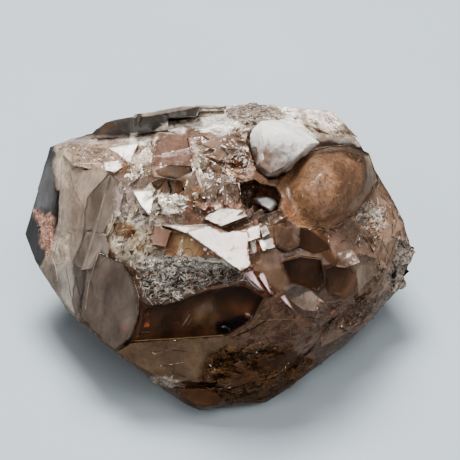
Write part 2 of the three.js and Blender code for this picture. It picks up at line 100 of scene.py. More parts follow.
SMOKE = linear("574a43")
SLATE = linear("3a3c3f")
GREIGE = linear("968678")
VEIL = linear("c2b2a0")
TAUPE = linear("735f54")
BARK = linear("583f2e")
UMBER = linear("5b3b22")
INK = linear("1b120d")
OLIVE = linear("4b321c")
HONEY = linear("a5855c")
TAN = linear("8a7262")
SAND = linear("b8a99c")
ROSE = linear("7f6357")
RUST = linear("ba8c7c")
LILAC = linear("d3b8c0")
COCOA = linear("664d3f")
PEARL = linear("b4aa9b")
AMBER = linear("705339")
SHADE = linear("46301f")
CLAY = linear("66503e")
BLUSH = linear("8f6c5c")
IRON = linear("65574e")
GLOOM = linear("2c1d14")
ASH = linear("8f847c")
FAWN = linear("a08a7a")
MOCHA = linear("846e60")
FOG = linear("cbc3bb")
PUTTY = linear("ab9c8e")
DRAB = linear("6a5a50")
TOBACCO = linear("6b4a33")
LOAM = linear("3f2a1a")
NUT = linear("50351f")
STONE = linear("786b63")
GOLD = linear("86623e")
STRAW = linear("c9a87c")
IVORY = linear("cdc3b0")
TOFFEE = linear("88674e")
PEWTER = linear("9c908b")
STEEL = linear("63656a")
CARAMEL = linear("a0785c")
MILK = linear("efe5da")
SNOW = linear("f6f4ef")

# Zones of the show side, painted in this order. Each has its corners in the picture, its colour, how clear
# the crystal is there, how broken its surface is, and how many pixels its edge takes.
ZONES = {
    "show_side": ([(10, 90), (430, 90), (430, 420), (10, 420)], COCOA, 0.2, 0.35, 8),
    "top_slope": ([(96, 132), (134, 112), (185, 100), (330, 100), (366, 146), (330, 140), (258, 124),
        (250, 160), (200, 150), (150, 145), (96, 146)], SNOW, 0.15, 0.4, 8),
    "top_middle": ([(196, 118), (254, 108), (256, 130), (250, 182), (206, 186),
        (192, 160)], PEARL, 0.3, 0.8, 8),
    "beige_shelf": ([(170, 112), (222, 106), (240, 124), (224, 136), (190, 130),
        (170, 124)], SNOW, 0.3, 0.45, 4),
    "grainy_crest": ([(222, 112), (250, 100), (278, 106), (284, 118), (262, 128), (246, 126),
        (230, 118)], ASH, 0.3, 0.95, 3),
    "top_right": ([(296, 106), (330, 104), (350, 116), (366, 144), (348, 141), (322, 140),
        (304, 124)], PUTTY, 0.3, 0.45, 4),
    "top_sparkle": ([(300, 106), (326, 104), (346, 120), (334, 130), (312, 124)], MILK, 0.2, 0.8, 4),
    "banded_slope": ([(182, 126), (214, 134), (222, 150), (206, 158), (194, 142)], MOCHA, 0.3, 0.25, 3),
    "brown_dome": ([(214, 138), (238, 132), (254, 148), (254, 160), (236, 158),
        (222, 150)], TAUPE, 0.3, 0.25, 3),
    "brown_hollow": ([(204, 154), (222, 150), (232, 164), (226, 176), (210, 174)], TAN, 0.4, 0.2, 3),
    "glitter_swirl": ([(218, 160), (236, 152), (254, 158), (254, 170), (240, 182),
        (226, 176)], ROSE, 0.15, 0.8, 3),
    "dark_swirl": ([(230, 161), (244, 159), (242, 168), (232, 170)], UMBER, 0.3, 0.3, 2),
    "swirl_white": ([(219, 176), (228, 168), (238, 170), (246, 174), (252, 168), (253, 178), (246, 182),
        (236, 178), (228, 178)], TAN, 0.05, 0.95, 2),
    "step_blocks": ([(86, 141), (94, 120), (106, 104), (134, 98), (160, 98), (160, 112), (134, 130),
        (128, 139)], SLATE, 0.02, 0.02, 1),
    "step_block_middle": ([(132, 134), (134, 98), (170, 96), (170, 120), (150, 134)], SLATE, 0.02, 0.02, 1),
    "step_block_right": ([(156, 120), (158, 94), (226, 94), (226, 110), (202, 108), (198, 118),
        (168, 122)], SLATE, 0.02, 0.05, 2),
    "step_top": ([(130, 115), (160, 109), (198, 102), (226, 103), (224, 107), (198, 107), (160, 114),
        (134, 118)], FOG, 0.1, 0.05, 1),
    "step_glass": ([(136, 114), (142, 112), (141, 127), (135, 130)], INK, 0.1, 0.02, 1),
    "step_glass_left": ([(98, 123), (112, 117), (119, 129), (101, 134)], SMOKE, 0.1, 0.02, 1),
    "left_end": ([(44, 140), (56, 148), (54, 184), (60, 196), (56, 236), (42, 268),
        (18, 246)], SLATE, 0.05, 0.02, 2),
    "left_sheen": ([(38, 176), (48, 158), (54, 178), (52, 206), (34, 214)], STEEL, 0.02, 0.02, 9),
    "left_face": ([(56, 150), (112, 150), (112, 174), (92, 236), (76, 318), (38, 272), (56, 236),
        (60, 190)], SAND, 0.35, 0.12, 3),
    "left_brown": ([(66, 200), (84, 200), (80, 228), (70, 230)], PUTTY, 0.3, 0.05, 12),
    "left_pale": ([(44, 238), (70, 234), (68, 262), (50, 264)], VEIL, 0.2, 0.3, 10),
    "left_low": ([(54, 270), (72, 262), (78, 318), (62, 302)], FOG, 0.35, 0.1, 10),
    "top_edge": ([(52, 151), (57, 143), (92, 135), (130, 136), (130, 146),
        (62, 152)], PEWTER, 0.1, 0.35, 2),
    "upper_band": ([(60, 144), (130, 144), (126, 162), (108, 172), (74, 166),
        (60, 160)], FAWN, 0.25, 0.35, 3),
    "corner_veil": ([(55, 158), (62, 150), (72, 153), (74, 168), (72, 190), (60, 188),
        (54, 176)], VEIL, 0.05, 0.25, 5),
    "veil_patch": ([(70, 168), (106, 172), (104, 182), (92, 192), (86, 206), (80, 208), (74, 200),
        (68, 186)], SAND, 0.3, 0.1, 5),
    "orange_smear": ([(67, 178), (72, 176), (76, 196), (70, 200)], VEIL, 0.2, 0.1, 4),
    "dark_streak": ([(58, 188), (61, 190), (59, 222), (51, 240), (48, 236), (54, 212)], INK, 0.05, 0.02, 3),
    "rust_patch": ([(33, 207), (40, 210), (44, 216), (50, 212), (53, 220), (54, 240), (50, 256), (45, 256),
        (42, 240), (36, 222)], RUST, 0.05, 0.8, 4),
    "blade": ([(110, 173), (126, 190), (120, 212), (106, 226), (92, 268), (76, 318), (72, 300), (84, 232),
        (87, 198)], ASH, 0.35, 0.02, 2),
    "low_blade": ([(86, 231), (105, 234), (110, 247), (108, 256), (90, 274), (80, 300),
        (73, 263)], ASH, 0.35, 0, 2),
    "plate": ([(99, 253), (121, 262), (133, 279), (139, 297), (137, 322), (130, 338), (114, 351), (88, 326),
        (80, 316), (87, 273)], STONE, 0.3, 0, 2),
    "plate_shade": ([(97, 253), (99.5, 252), (90, 272), (84, 316), (81, 316),
        (86, 272)], STONE, 0.1, 0.1, 2),
    "pale_seam": ([(106, 226), (120, 212), (134, 220), (152, 226), (152, 246), (166, 250), (164, 262),
        (136, 270), (122, 262), (110, 248)], IVORY, 0.3, 0.3, 5),
    "amber_nook": ([(118, 222), (136, 222), (140, 236), (128, 240), (112, 234)], AMBER, 0.3, 0.6, 4),
    "glitter_patch": ([(118, 186), (134, 178), (152, 186), (164, 190), (186, 196), (184, 216), (160, 224),
        (130, 222), (116, 214)], IVORY, 0.2, 0.8, 5),
    "glitter_brown": ([(117, 188), (132, 184), (137, 200), (128, 218), (116, 212)], PEWTER, 0.3, 0.35, 5),
    "glitter_gap": ([(150, 216), (172, 213), (186, 216), (182, 224), (158, 226)], SAND, 0.3, 0.5, 3),
    "glitter_white": ([(157, 194), (172, 190), (185, 198), (182, 210), (168, 214),
        (158, 206)], MILK, 0.05, 0.95, 2),
    "brown_corner": ([(112, 174), (130, 176), (150, 180), (146, 190), (126, 192)], STONE, 0.3, 0.3, 4),
    "pink_block": ([(150, 132), (190, 132), (195, 158), (190, 165), (152, 165)], ROSE, 0.3, 0.2, 3),
    "pale_ridge": ([(126, 164), (150, 140), (158, 134), (154, 150), (150, 174),
        (142, 178)], PUTTY, 0.2, 0.9, 3),
    "under_bench": ([(152, 165), (192, 165), (200, 180), (192, 198), (160, 194),
        (150, 180)], DRAB, 0.3, 0.25, 4),
    "bench_face": ([(152, 166), (192, 165), (190, 177), (154, 177)], FAWN, 0.15, 0.2, 2),
    "bench_slot": ([(157, 179), (165, 179), (168, 196), (158, 194)], MOCHA, 0.3, 0.1, 2),
    "bench_slot_right": ([(175, 180), (186, 181), (184, 197), (173, 195)], AMBER, 0.3, 0.1, 2),
    "petals": ([(188, 190), (206, 184), (240, 182), (243, 200), (234, 212), (212, 212),
        (192, 208)], TOFFEE, 0.3, 0.45, 4),
    "pale_lobe": ([(194, 168), (206, 170), (212, 184), (206, 194), (198, 186)], FAWN, 0.3, 0.15, 2),
    "brown_lobe": ([(207, 176), (220, 174), (226, 206), (208, 207), (200, 194)], DRAB, 0.15, 0.4, 2),
    "pink_lobe": ([(222, 178), (236, 182), (240, 206), (226, 208)], DRAB, 0.15, 0.45, 2),
    "lobe_gap": ([(219, 176), (223, 178), (226, 207), (222, 207)], TAN, 0.3, 0.1, 1),
    "rusty_lip": ([(194, 203), (206, 205), (226, 205), (242, 203), (238, 211), (214, 212),
        (196, 209)], RUST, 0.3, 0.6, 3),
    "pocket": ([(238, 182), (262, 180), (280, 190), (282, 214), (262, 220), (246, 212),
        (238, 198)], SHADE, 0.4, 0.4, 4),
    "pocket_rust": ([(246, 208), (262, 206), (278, 214), (276, 226), (256, 226),
        (246, 216)], DRAB, 0.3, 0.6, 4),
    "upper_facet": ([(204, 218), (220, 208), (244, 210), (248, 216), (221, 226)], PEARL, 0.3, 0.08, 1),
    # painted reflections: this face and the small squares and slivers after it mirror a bright window and are
    # painted near white
    "reflection_face": ([(160, 224), (190, 226), (211, 224), (228, 234), (260, 225), (261, 238), (248, 241),
        (247, 249), (251, 265), (241, 271), (187, 233)], VEIL, 0.25, 0.04, 1),
    "reflection_square": ([(258, 241), (272, 237), (276, 247), (263, 252)], SNOW, 0, 0.05, 1),
    "reflection_chip": ([(260, 228), (266, 225), (271, 233), (263, 238)], SNOW, 0, 0.05, 1),
    "reflection_sliver": ([(250, 241), (254, 240), (257, 251), (254, 253)], SNOW, 0, 0.05, 1),
    "reflection_sliver_low": ([(266, 251), (270, 250), (271, 260), (267, 261)], SNOW, 0, 0.05, 1),
    "reflection_strip": ([(272, 250), (278, 247), (279, 251), (273, 254)], SNOW, 0, 0.05, 1),
    "white_wedge": ([(133, 191), (150, 191), (154, 198), (151, 217), (140, 205)], SNOW, 0, 0.02, 1),
    # painted reflection of a bright window on this small triangle
    "reflection_triangle": ([(109, 148), (139, 143), (129, 162)], SNOW, 0, 0, 1),
    "white_cap": ([(104, 162), (119, 160), (123, 167), (115, 173), (105, 171)], FOG, 0, 0.1, 1),
    "honey_facet": ([(170, 231), (187, 233), (213, 251), (224, 260), (196, 260),
        (162, 256)], CARAMEL, 0.1, 0.05, 2),
    "honey_glow": ([(172, 233), (186, 235), (204, 252), (198, 257), (178, 252)], STRAW, 0.1, 0.05, 6),
    "pale_stub": ([(154, 225), (173, 230), (168, 248), (151, 245)], ROSE, 0.2, 0.02, 1),
    "fibre_band": ([(134, 264), (152, 256), (178, 258), (222, 260), (241, 273), (240, 282), (204, 288),
        (184, 298), (164, 304), (146, 302)], DRAB, 0.1, 0.9, 4),
    "fibre_crest": ([(148, 256), (178, 257), (222, 259), (236, 267), (200, 271),
        (150, 269)], SNOW, 0.1, 0.4, 4),
    "basin": ([(141, 304), (164, 306), (184, 300), (206, 291), (244, 284), (266, 298), (252, 320),
        (228, 336), (132, 343)], TOBACCO, 0.5, 0, 3),
    "basin_glow": ([(196, 302), (240, 296), (246, 308), (214, 322), (190, 320)], GOLD, 0.45, 0, 10),
    "basin_sheen": ([(196, 306), (214, 303), (217, 311), (198, 315)], TAN, 0.3, 0.02, 9),
    "basin_pit": ([(216, 322), (246, 314), (248, 320), (228, 334), (218, 332)], INK, 0.5, 0, 2),
    "centre_right": ([(262, 226), (300, 224), (330, 228), (352, 238), (362, 262), (366, 298), (330, 304),
        (300, 300), (276, 292), (256, 268), (264, 246)], CLAY, 0.1, 0.05, 4),
    "grey_shard": ([(272, 224), (298, 226), (302, 248), (286, 254), (274, 246)], BARK, 0.1, 0.1, 3),
    "dark_wedge": ([(298, 224), (316, 229), (328, 240), (333, 252), (314, 256),
        (297, 250)], SHADE, 0.4, 0.05, 3),
    "olive_facet": ([(280, 258), (300, 255), (324, 258), (326, 286), (318, 292),
        (290, 286)], OLIVE, 0.4, 0.1, 3),
    "orange_pocket": ([(324, 267), (331, 264), (352, 266), (358, 275), (354, 292), (345, 298),
        (329, 296)], TOBACCO, 0.4, 0.1, 2),
    "saddle": ([(318, 251), (332, 246), (358, 252), (362, 266), (352, 266), (331, 264),
        (324, 262)], LOAM, 0.1, 0.15, 2),
    "pocket_surround": ([(352, 264), (366, 268), (364, 296), (352, 304), (330, 300), (345, 298), (356, 290),
        (358, 274)], BARK, 0.05, 0.1, 2),
    "lilac_gap": ([(252, 269), (260, 272), (275, 294), (270, 298), (262, 292)], LOAM, 0.3, 0.1, 2),
    "lilac_left": ([(244, 273), (252, 271), (264, 291), (260, 290)], LILAC, 0, 0.02, 1),
    "lilac_middle": ([(259, 276), (263, 273), (272, 295), (268, 292)], LILAC, 0, 0.02, 1),
    "lilac_right": ([(280, 297), (284, 295), (294, 312), (290, 309)], LILAC, 0, 0.02, 1),
    "lilac_face": ([(283, 288), (295, 283), (312, 291), (324, 302), (318, 312), (304, 311),
        (291, 302)], STONE, 0.3, 0.03, 1),
    "lilac_chip": ([(375, 257), (380, 256), (389, 267), (379, 270)], LILAC, 0, 0.05, 1),
    "right_side": ([(330, 226), (356, 214), (376, 186), (392, 200), (416, 250), (404, 290), (372, 300),
        (358, 270), (332, 250)], TAN, 0.25, 0.25, 6),
    "right_veil": ([(326, 230), (350, 226), (376, 234), (374, 262), (358, 268), (336, 256),
        (328, 244)], MOCHA, 0.3, 0.2, 5),
    "right_rim": ([(392, 236), (414, 240), (420, 258), (410, 292), (392, 298), (386, 276),
        (396, 254)], ASH, 0.25, 0.85, 3),
    "right_glitter": ([(350, 206), (370, 200), (388, 212), (386, 230), (366, 230),
        (354, 220)], TAN, 0.2, 0.7, 4),
    "glitter_core": ([(364, 212), (378, 208), (384, 220), (372, 226)], IVORY, 0.1, 0.8, 3),
    "right_band": ([(384, 236), (396, 240), (388, 262), (376, 280), (372, 270),
        (380, 254)], TAN, 0.15, 0.35, 2),
    "far_panel": ([(358, 266), (380, 266), (390, 284), (372, 302), (358, 298)], FAWN, 0.3, 0.2, 2),
    "hip": ([(318, 300), (356, 298), (384, 296), (366, 326), (330, 352), (308, 362),
        (298, 340)], TAUPE, 0.3, 0.4, 6),
    "low_rim": ([(384, 292), (404, 292), (380, 332), (348, 358), (318, 364), (330, 346),
        (360, 324)], STONE, 0.2, 0.4, 3),
    "lower_shelf": ([(130, 344), (184, 339), (228, 337), (228, 350), (200, 378), (176, 386), (150, 380),
        (114, 352)], CLAY, 0.15, 0.12, 3),
    "lower_sparkle": ([(150, 376), (170, 377), (186, 384), (166, 388), (152, 382)], GREIGE, 0.1, 0.7, 3),
    "foot_ground": ([(206, 354), (228, 345), (300, 344), (318, 350), (310, 370), (280, 394), (262, 403),
        (226, 404), (198, 384)], OLIVE, 0.2, 0.8, 5),
    "foot_face": ([(262, 358), (290, 350), (308, 352), (300, 366), (276, 372)], SHADE, 0.3, 0.1, 3),
    "foot_face_low": ([(222, 372), (244, 366), (262, 376), (246, 390), (228, 388)], UMBER, 0.3, 0.1, 3),
    "ridge_ground": ([(228, 337), (252, 321), (266, 298), (286, 304), (302, 314), (326, 330), (318, 348),
        (300, 346), (228, 347)], COCOA, 0.15, 0.35, 4),
    "ridge_face": ([(250, 330), (268, 316), (296, 322), (306, 334), (280, 342),
        (256, 342)], COCOA, 0.3, 0.3, 3),
    "hip_face": ([(290, 338), (318, 328), (338, 334), (332, 350), (310, 360),
        (296, 352)], TAUPE, 0.25, 0.15, 4),
    "foot": ([(172, 388), (200, 386), (222, 396), (222, 402), (208, 410), (190, 404)], NUT, 0.3, 0.1, 3),
    "rounded": ([(277, 184), (277, 199), (284, 214), (300, 225), (320, 230), (335, 226), (355, 214),
        (370, 194), (377, 181), (376, 168), (370, 152), (347, 143), (318, 146), (306, 152),
        (287, 172)], CARAMEL, 0.4, 0.06, 2),
    "rounded_gold": ([(282, 182), (302, 164), (330, 168), (352, 186), (340, 214), (318, 222),
        (292, 212)], CARAMEL, 0.35, 0.06, 10),
    "rounded_shade": ([(306, 150), (322, 141), (349, 140), (374, 150), (380, 180), (370, 190), (364, 168),
        (346, 157), (322, 157)], INK, 0.1, 0.02, 7),
    "rounded_side": ([(364, 156), (371, 156), (377, 180), (369, 193), (364, 192),
        (368, 176)], GREIGE, 0.2, 0.05, 2),
    "golden_rim": ([(284, 213), (300, 222), (320, 226), (336, 222), (336, 228), (320, 233),
        (298, 227)], TOFFEE, 0.1, 0.15, 3),
}
HIDDEN_CLEAR = 0.65
HIDDEN_BROKEN = 0.03
ROUNDED_ZONE = "rounded"
# Zones with a dark outline, zones without mirror gloss, and how fibrous the ground of some zones is
OUTLINED = ("left_end", "blade", "low_blade", "plate", "basin", "orange_pocket", "olive_facet", "rounded")
OUTLINE_DEPTH = 0.6
DULL = ("rounded", "rounded_shade", "rounded_side", "centre_right", "saddle")
GRAINED = {"fibre_band": 1.0, "foot_ground": 0.6, "ridge_ground": 0.55, "hip": 0.4}

# The longest edges that the meshes are cut to, by the kind of ground
BORDER_EDGE = 0.42 * MM
BUSY_EDGE = 0.66 * MM
CALM_EDGE = 1.0 * MM
MILKY_EDGE = 0.4 * MM
HIDDEN_EDGE = 1.7 * MM
CUTTING_ROUNDS = 9

# Directions in the picture, in degrees, and sizes of the broken ground
STRIATION_ANGLE = 73
FIBRE_ANGLE = 14
PLATE_SIZE = 1.9 * MM
FIBRE_SIZE = 1.0 * MM

# How far each pattern lifts the surface, in millimetres
PLATE_LIFT = 0.42
FINE_LIFT = 0.2
FIBRE_LIFT = 0.5
STRIATION_LIFT = 0.02
SWELL_LIFT = 0.05

# How much the rounded crystal is smoothed
ROUNDING_SHARE = 0.6
ROUNDING_ROUNDS = 7

# The painted shade on the milky crystal's lower left, brown, as pixels: where it starts, and over how many it
# grows
MILKY_SHADE_TOP = 130
MILKY_SHADE_RIGHT = 306
MILKY_SHADE_DOWN = 24
MILKY_SHADE_LEFT = 28


# How the zones' edges waver: the size of each wave, and how many pixels it moves the edge
WAVER_SIZE = 2.4 * MM
WAVER_PIXELS = 3
FINE_WAVER_SIZE = 0.9 * MM
FINE_WAVER_PIXELS = 1.6

# The hidden sides: the size of their pale veils and of their broken patches
VEIL_SIZE = 10 * MM
FINE_VEIL_SIZE = 3 * MM
BROKEN_PATCH_SIZE = 9 * MM

WELD_DISTANCE = 0.02 * MM
FLAT_ANGLE = math.radians(0.4)
PLATE_TILT = 0.6
SHARP_RIDGE = 0.1 * MM
STRIATION_SPACING = 0.4 * MM
FIBRE_SQUEEZE = 0.72

# The breaks of the milky pieces
MILKY_BREAK_SIZE = 3.4 * MM
MILKY_CHIP_SIZE = 1.3 * MM
MILKY_MOTTLE_SIZE = 2 * MM


# Mesh work

def placed(name, data):
    """A new object in the scene."""
    thing = bpy.data.objects.new(name, data)
    bpy.context.scene.collection.objects.link(thing)
    return thing


def values_of(items, key, width, kind=float):
    values = np.empty(len(items) * width, dtype=kind)
    items.foreach_get(key, values)
    return values.reshape(-1, width)


def edges_of(mesh):
    return values_of(mesh.edges, "vertices", 2, np.int64)


def points_of(mesh):
    return values_of(mesh.vertices, "co", 3)


def normals_of(mesh):
    return values_of(mesh.vertices, "normal", 3)


def put_points(mesh, points):
    mesh.vertices.foreach_set("co", points.ravel())
    mesh.update()


def even(length):
    """Edges of one length everywhere."""
    return lambda points, shown: np.full(len(points), length)


def by_zone(points, shown):
    """The longest edge at each point: short on broken ground and where a zone ends, long where it is calm."""
    x, y, _ = in_picture(points)
    busy, border = np.zeros(len(points)), np.zeros(len(points))
    for corners, _, _, roughness, soft in ZONES.values():
        share = inside(x, y, corners, 4)
        busy += (roughness - busy) * share
        if soft <= 3:
            border = np.maximum(border, 4 * share * (1 - share))
    length = CALM_EDGE + (BUSY_EDGE - CALM_EDGE) * np.clip(busy * 2.5, 0, 1)
    length += (BORDER_EDGE - length) * np.clip(border * 2, 0, 1)
    return np.where(shown, length, HIDDEN_EDGE)


def refined_copy(node, name, longest):
    """A copy of a CAD node's mesh, with no edge longer than longest(points, shown) says."""
    work = bmesh.new()
    work.from_mesh(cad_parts[node].data)
    bmesh.ops.remove_doubles(work, verts=work.verts, dist=WELD_DISTANCE)
    bmesh.ops.dissolve_limit(work, angle_limit=FLAT_ANGLE, verts=work.verts, edges=work.edges)
    bmesh.ops.triangulate(work, faces=work.faces, quad_method="BEAUTY", ngon_method="BEAUTY")
    toward = Vector(TOWARD_VIEWER)
    for _ in range(CUTTING_ROUNDS):
        edges = [edge for edge in work.edges if edge.calc_length() > BORDER_EDGE]
        lengths = np.array([edge.calc_length() for edge in edges])
        middles = np.array([((edge.verts[0].co + edge.verts[1].co) / 2)[:] for edge in edges])
        shown = np.array([any(face.normal.dot(toward) > 0.05 for face in edge.link_faces) for edge in edges])
        long_edges = [edges[i] for i in np.flatnonzero(lengths > longest(middles, shown))]
        if not long_edges:
            break
        bmesh.ops.subdivide_edges(work, edges=long_edges, cuts=1)
        bmesh.ops.triangulate(work, faces=work.faces, quad_method="SHORT_EDGE", ngon_method="BEAUTY")
        work.normal_update()
    mesh = bpy.data.meshes.new(name)
    work.to_mesh(mesh)
    work.free()
    piece = placed(name, mesh)
    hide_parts(node)
    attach(piece, "root")
    return piece


def smoothed(points, pairs, share, rounds):
    """The points, each drawn toward the middle of its neighbours by its share."""
    count = np.bincount(pairs.ravel(), minlength=len(points))[:, None]
    share = share[:, None]
    for _ in range(rounds):
        total = np.zeros_like(points)
        np.add.at(total, pairs[:, 0], points[pairs[:, 1]])
        np.add.at(total, pairs[:, 1], points[pairs[:, 0]])
        points = points + (total / np.maximum(count, 1) - points) * share
    return points


def inside(x, y, corners, soft):
    """1 within the corners, 0 outside, with an edge that takes `soft` pixels."""
    crossed = np.zeros(len(x), dtype=bool)
    nearest = np.full(len(x), 1e9)
    for (ax, ay), (bx, by) in zip(corners, corners[1:] + corners[:1]):
        between = (ay > y) != (by > y)
        with np.errstate(divide="ignore", invalid="ignore"):
            crossed ^= between & (x < (bx - ax) * (y - ay) / (by - ay) + ax)
        length = (bx - ax) ** 2 + (by - ay) ** 2
        along = np.clip(((x - ax) * (bx - ax) + (y - ay) * (by - ay)) / length, 0, 1)
        nearest = np.minimum(nearest, np.hypot(x - ax - along * (bx - ax), y - ay - along * (by - ay)))
    signed = np.where(crossed, nearest, -nearest)
    share = np.clip(signed / soft + 0.5, 0, 1)
    return share * share * (3 - 2 * share)


def wavering(points, size, seed):
    """Smooth noise from -1 to 1 with features of that size, the same on each run."""
    offset = Vector((seed * 17.3, seed * 5.1, seed * 9.7))
    return np.array([noise.noise(Vector(p) / size + offset) for p in points])


def painted(points, normals):
    """Colour, clearness and brokenness of each point. On the hidden sides the colour follows the height."""
    x, y, _ = in_picture(points)
    facing = np.clip((normals @ TOWARD_VIEWER + 0.15) / 0.3, 0, 1)
    ragged = wavering(points, WAVER_SIZE, 1) * WAVER_PIXELS
    ragged = ragged + wavering(points, FINE_WAVER_SIZE, 2) * FINE_WAVER_PIXELS
    height = np.clip(points[:, 2] / cad_box[1][2], 0, 1)[:, None]
    veils = 3 * wavering(points, VEIL_SIZE, 3) + 1.5 * wavering(points, FINE_VEIL_SIZE, 15)
    veils = np.clip(veils - 0.4, 0, 1)
    colour = np.array(SHADE) * (1 - height) + np.array(TAUPE) * height
    colour += (np.array(GREIGE) - colour) * 0.6 * veils[:, None]
    clear = HIDDEN_CLEAR * (1 - 0.8 * veils)
    broken = HIDDEN_BROKEN + 0.7 * np.clip(2 * wavering(points, BROKEN_PATCH_SIZE, 4) - 0.5, 0, 1)
    for name, (corners, tone, clearness, roughness, soft) in ZONES.items():
        waver = ragged * min(soft, 4) / 4
        share = inside(x + waver, y - waver, corners, soft) * facing
        colour += (np.array(tone) - colour) * share[:, None]
        if name in OUTLINED:
            rim = inside(x + waver, y - waver, corners, 3.0) * facing
            colour *= 1 - OUTLINE_DEPTH * (4 * rim * (1 - rim))[:, None]
        clear += (clearness - clear) * share
        broken += (roughness - broken) * share
    return np.clip(colour, 0, 1), np.clip(clear, 0, 1), np.clip(broken, 0, 1)


def plates(points, size, seed):
    """Broken ground: points are sorted into cells of about that size. Each gets its cell's flat, tilted
    offset from -1 to 1, and its cell's own random number."""
    maker = np.random.default_rng(seed)
    corner, reach = points.min(axis=0), np.ptp(points, axis=0)
    count = int(np.prod(np.maximum(reach, size)) / size ** 3)
    centres = corner + maker.random((count, 3)) * reach
    tilts = maker.normal(size=(count, 3)) * PLATE_TILT
    lifts = maker.random(count) - 0.5
    tree = kdtree.KDTree(count)
    for i, centre in enumerate(centres):
        tree.insert(centre, i)
    tree.balance()
    cells = np.array([tree.find(p)[1] for p in points])
    offset = lifts[cells] + np.einsum("ij,ij->i", points - centres[cells], tilts[cells]) / size
    return np.clip(offset, -1, 1), maker.random(count)[cells]


def paint(mesh, name, values):
    layer = mesh.attributes.new(name, "FLOAT_COLOR", "POINT")
    filled = np.ones((len(mesh.vertices), 4))
    filled[:, :3] = values if values.ndim == 2 else values[:, None]
    layer.data.foreach_set("color", filled.ravel())


def shade(mesh, angle):
    mesh.polygons.foreach_set("use_smooth", np.ones(len(mesh.polygons), dtype=bool))
    mesh.set_sharp_from_angle(angle=math.radians(angle))


def along_picture(degrees):
    """A direction in the picture, counted from the right, upward."""
    angle = math.radians(degrees)
    return np.array((math.cos(angle), 0, 0)) + PICTURE_UP * math.sin(angle)


def ridges(points, normals, pairs):
    """How sharply the surface turns outward at each point, from 0 to 1."""
    drawn = smoothed(points, pairs, np.ones(len(points)), 1)
    outward = np.einsum("ij,ij->i", points - drawn, normals)
    return np.clip(outward / SHARP_RIDGE, 0, 1) * np.clip(normals @ TOWARD_VIEWER, 0, 1)


def strongest(x, y, shares):
    """How much each pixel lies in one of these zones, times that zone's share."""
    return np.max([share * inside(x, y, ZONES[name][0], 6) for name, share in shares.items()], axis=0)


def smoky_quartz():
    piece = refined_copy("smoky_quartz_crystal", "smoky_quartz_stone", by_zone)
    mesh = piece.data
    points, pairs = points_of(mesh), edges_of(mesh)
    x, y, rise = in_picture(points)
    rounded = inside(x, y, ZONES[ROUNDED_ZONE][0], 5) * np.clip((rise - 2) / 3, 0, 1)
    points = smoothed(points, pairs, rounded * ROUNDING_SHARE, ROUNDING_ROUNDS)
    put_points(mesh, points)
    normals = normals_of(mesh)
    colour, clear, broken = painted(points, normals)
    fibre = strongest(x, y, GRAINED)
    # outward ridges that face the viewer get a painted highlight in the material
    edge = ridges(points, normals, pairs) * (1 - rounded)

    coarse, number = plates(points, PLATE_SIZE, 5)
    grain = along_picture(FIBRE_ANGLE)
    squeezed = points - np.outer(points @ grain, grain) * FIBRE_SQUEEZE
    thin, thin_number = plates(squeezed, FIBRE_SIZE, 6)
    fine, fine_number = plates(points, PLATE_SIZE * 0.5, 7)
    across_lines = points @ along_picture(STRIATION_ANGLE - 90)
    striated = np.sin(across_lines / STRIATION_SPACING + 2 * wavering(points, 6 * MM, 8))
    lift = broken * (1 - fibre) * (PLATE_LIFT * coarse + FINE_LIFT * fine)
    lift = lift + fibre * (FIBRE_LIFT * thin + FINE_LIFT * fine)
    lift += (1 - broken) * (STRIATION_LIFT * striated + SWELL_LIFT * wavering(points, 5 * MM, 9))
    grounded = np.clip(points[:, 2] / (1.5 * MM), 0, 1)
    points = points + normals * (lift * grounded * MM)[:, None]
    points[:, 2] = np.maximum(points[:, 2], 0)
    put_points(mesh, points)

    glint = np.where(fibre > 0.5, thin_number, 0.6 * number + 0.4 * fine_number)
    paint(mesh, "tone", colour)
    paint(mesh, "state", np.stack((clear, broken, glint), axis=1))
    paint(mesh, "relief", np.stack((fibre, edge, rounded), axis=1))
    paint(mesh, "dull", strongest(x, y, dict.fromkeys(DULL, 1.0)))
    shade(mesh, 20)
    mesh.materials.append(smoky_material())
    return piece


# Materials

QUARTZ_IOR = 1.544
SMOKE_TINT = (0.73, 0.5, 0.3, 1)
SMOKE_DENSITY = 58
BUMP_DISTANCE = 0.3 * MM

# Factors on a zone's colour; PALER and BRIGHT also make painted highlights and glints, SHADED painted shade on
# facets
DEEPER = (0.58, 0.53, 0.48, 1)
GLOWING = (1.35, 1.28, 1.2, 1)
PALER = (1.7, 1.65, 1.6, 1)
BRIGHT = (3.4, 3.3, 3.1, 1)
SHADED = (0.26, 0.2, 0.16, 1)

# Scales of the patterns, in features per metre
CLOUDS = 190
WARP = 180
INNER_PLANES = 210
CRACKS = 330
LARGE_FLAKES = 420
CURLS = 420
FINE_CURLS = 760
SPECKS = 900
CALM_GRAIN = 1100
SMALL_FLAKES = 1150
LINES = 1400
BROKEN_GRAIN = 1500
SPARKS = 2200
SPARKLES = 2600


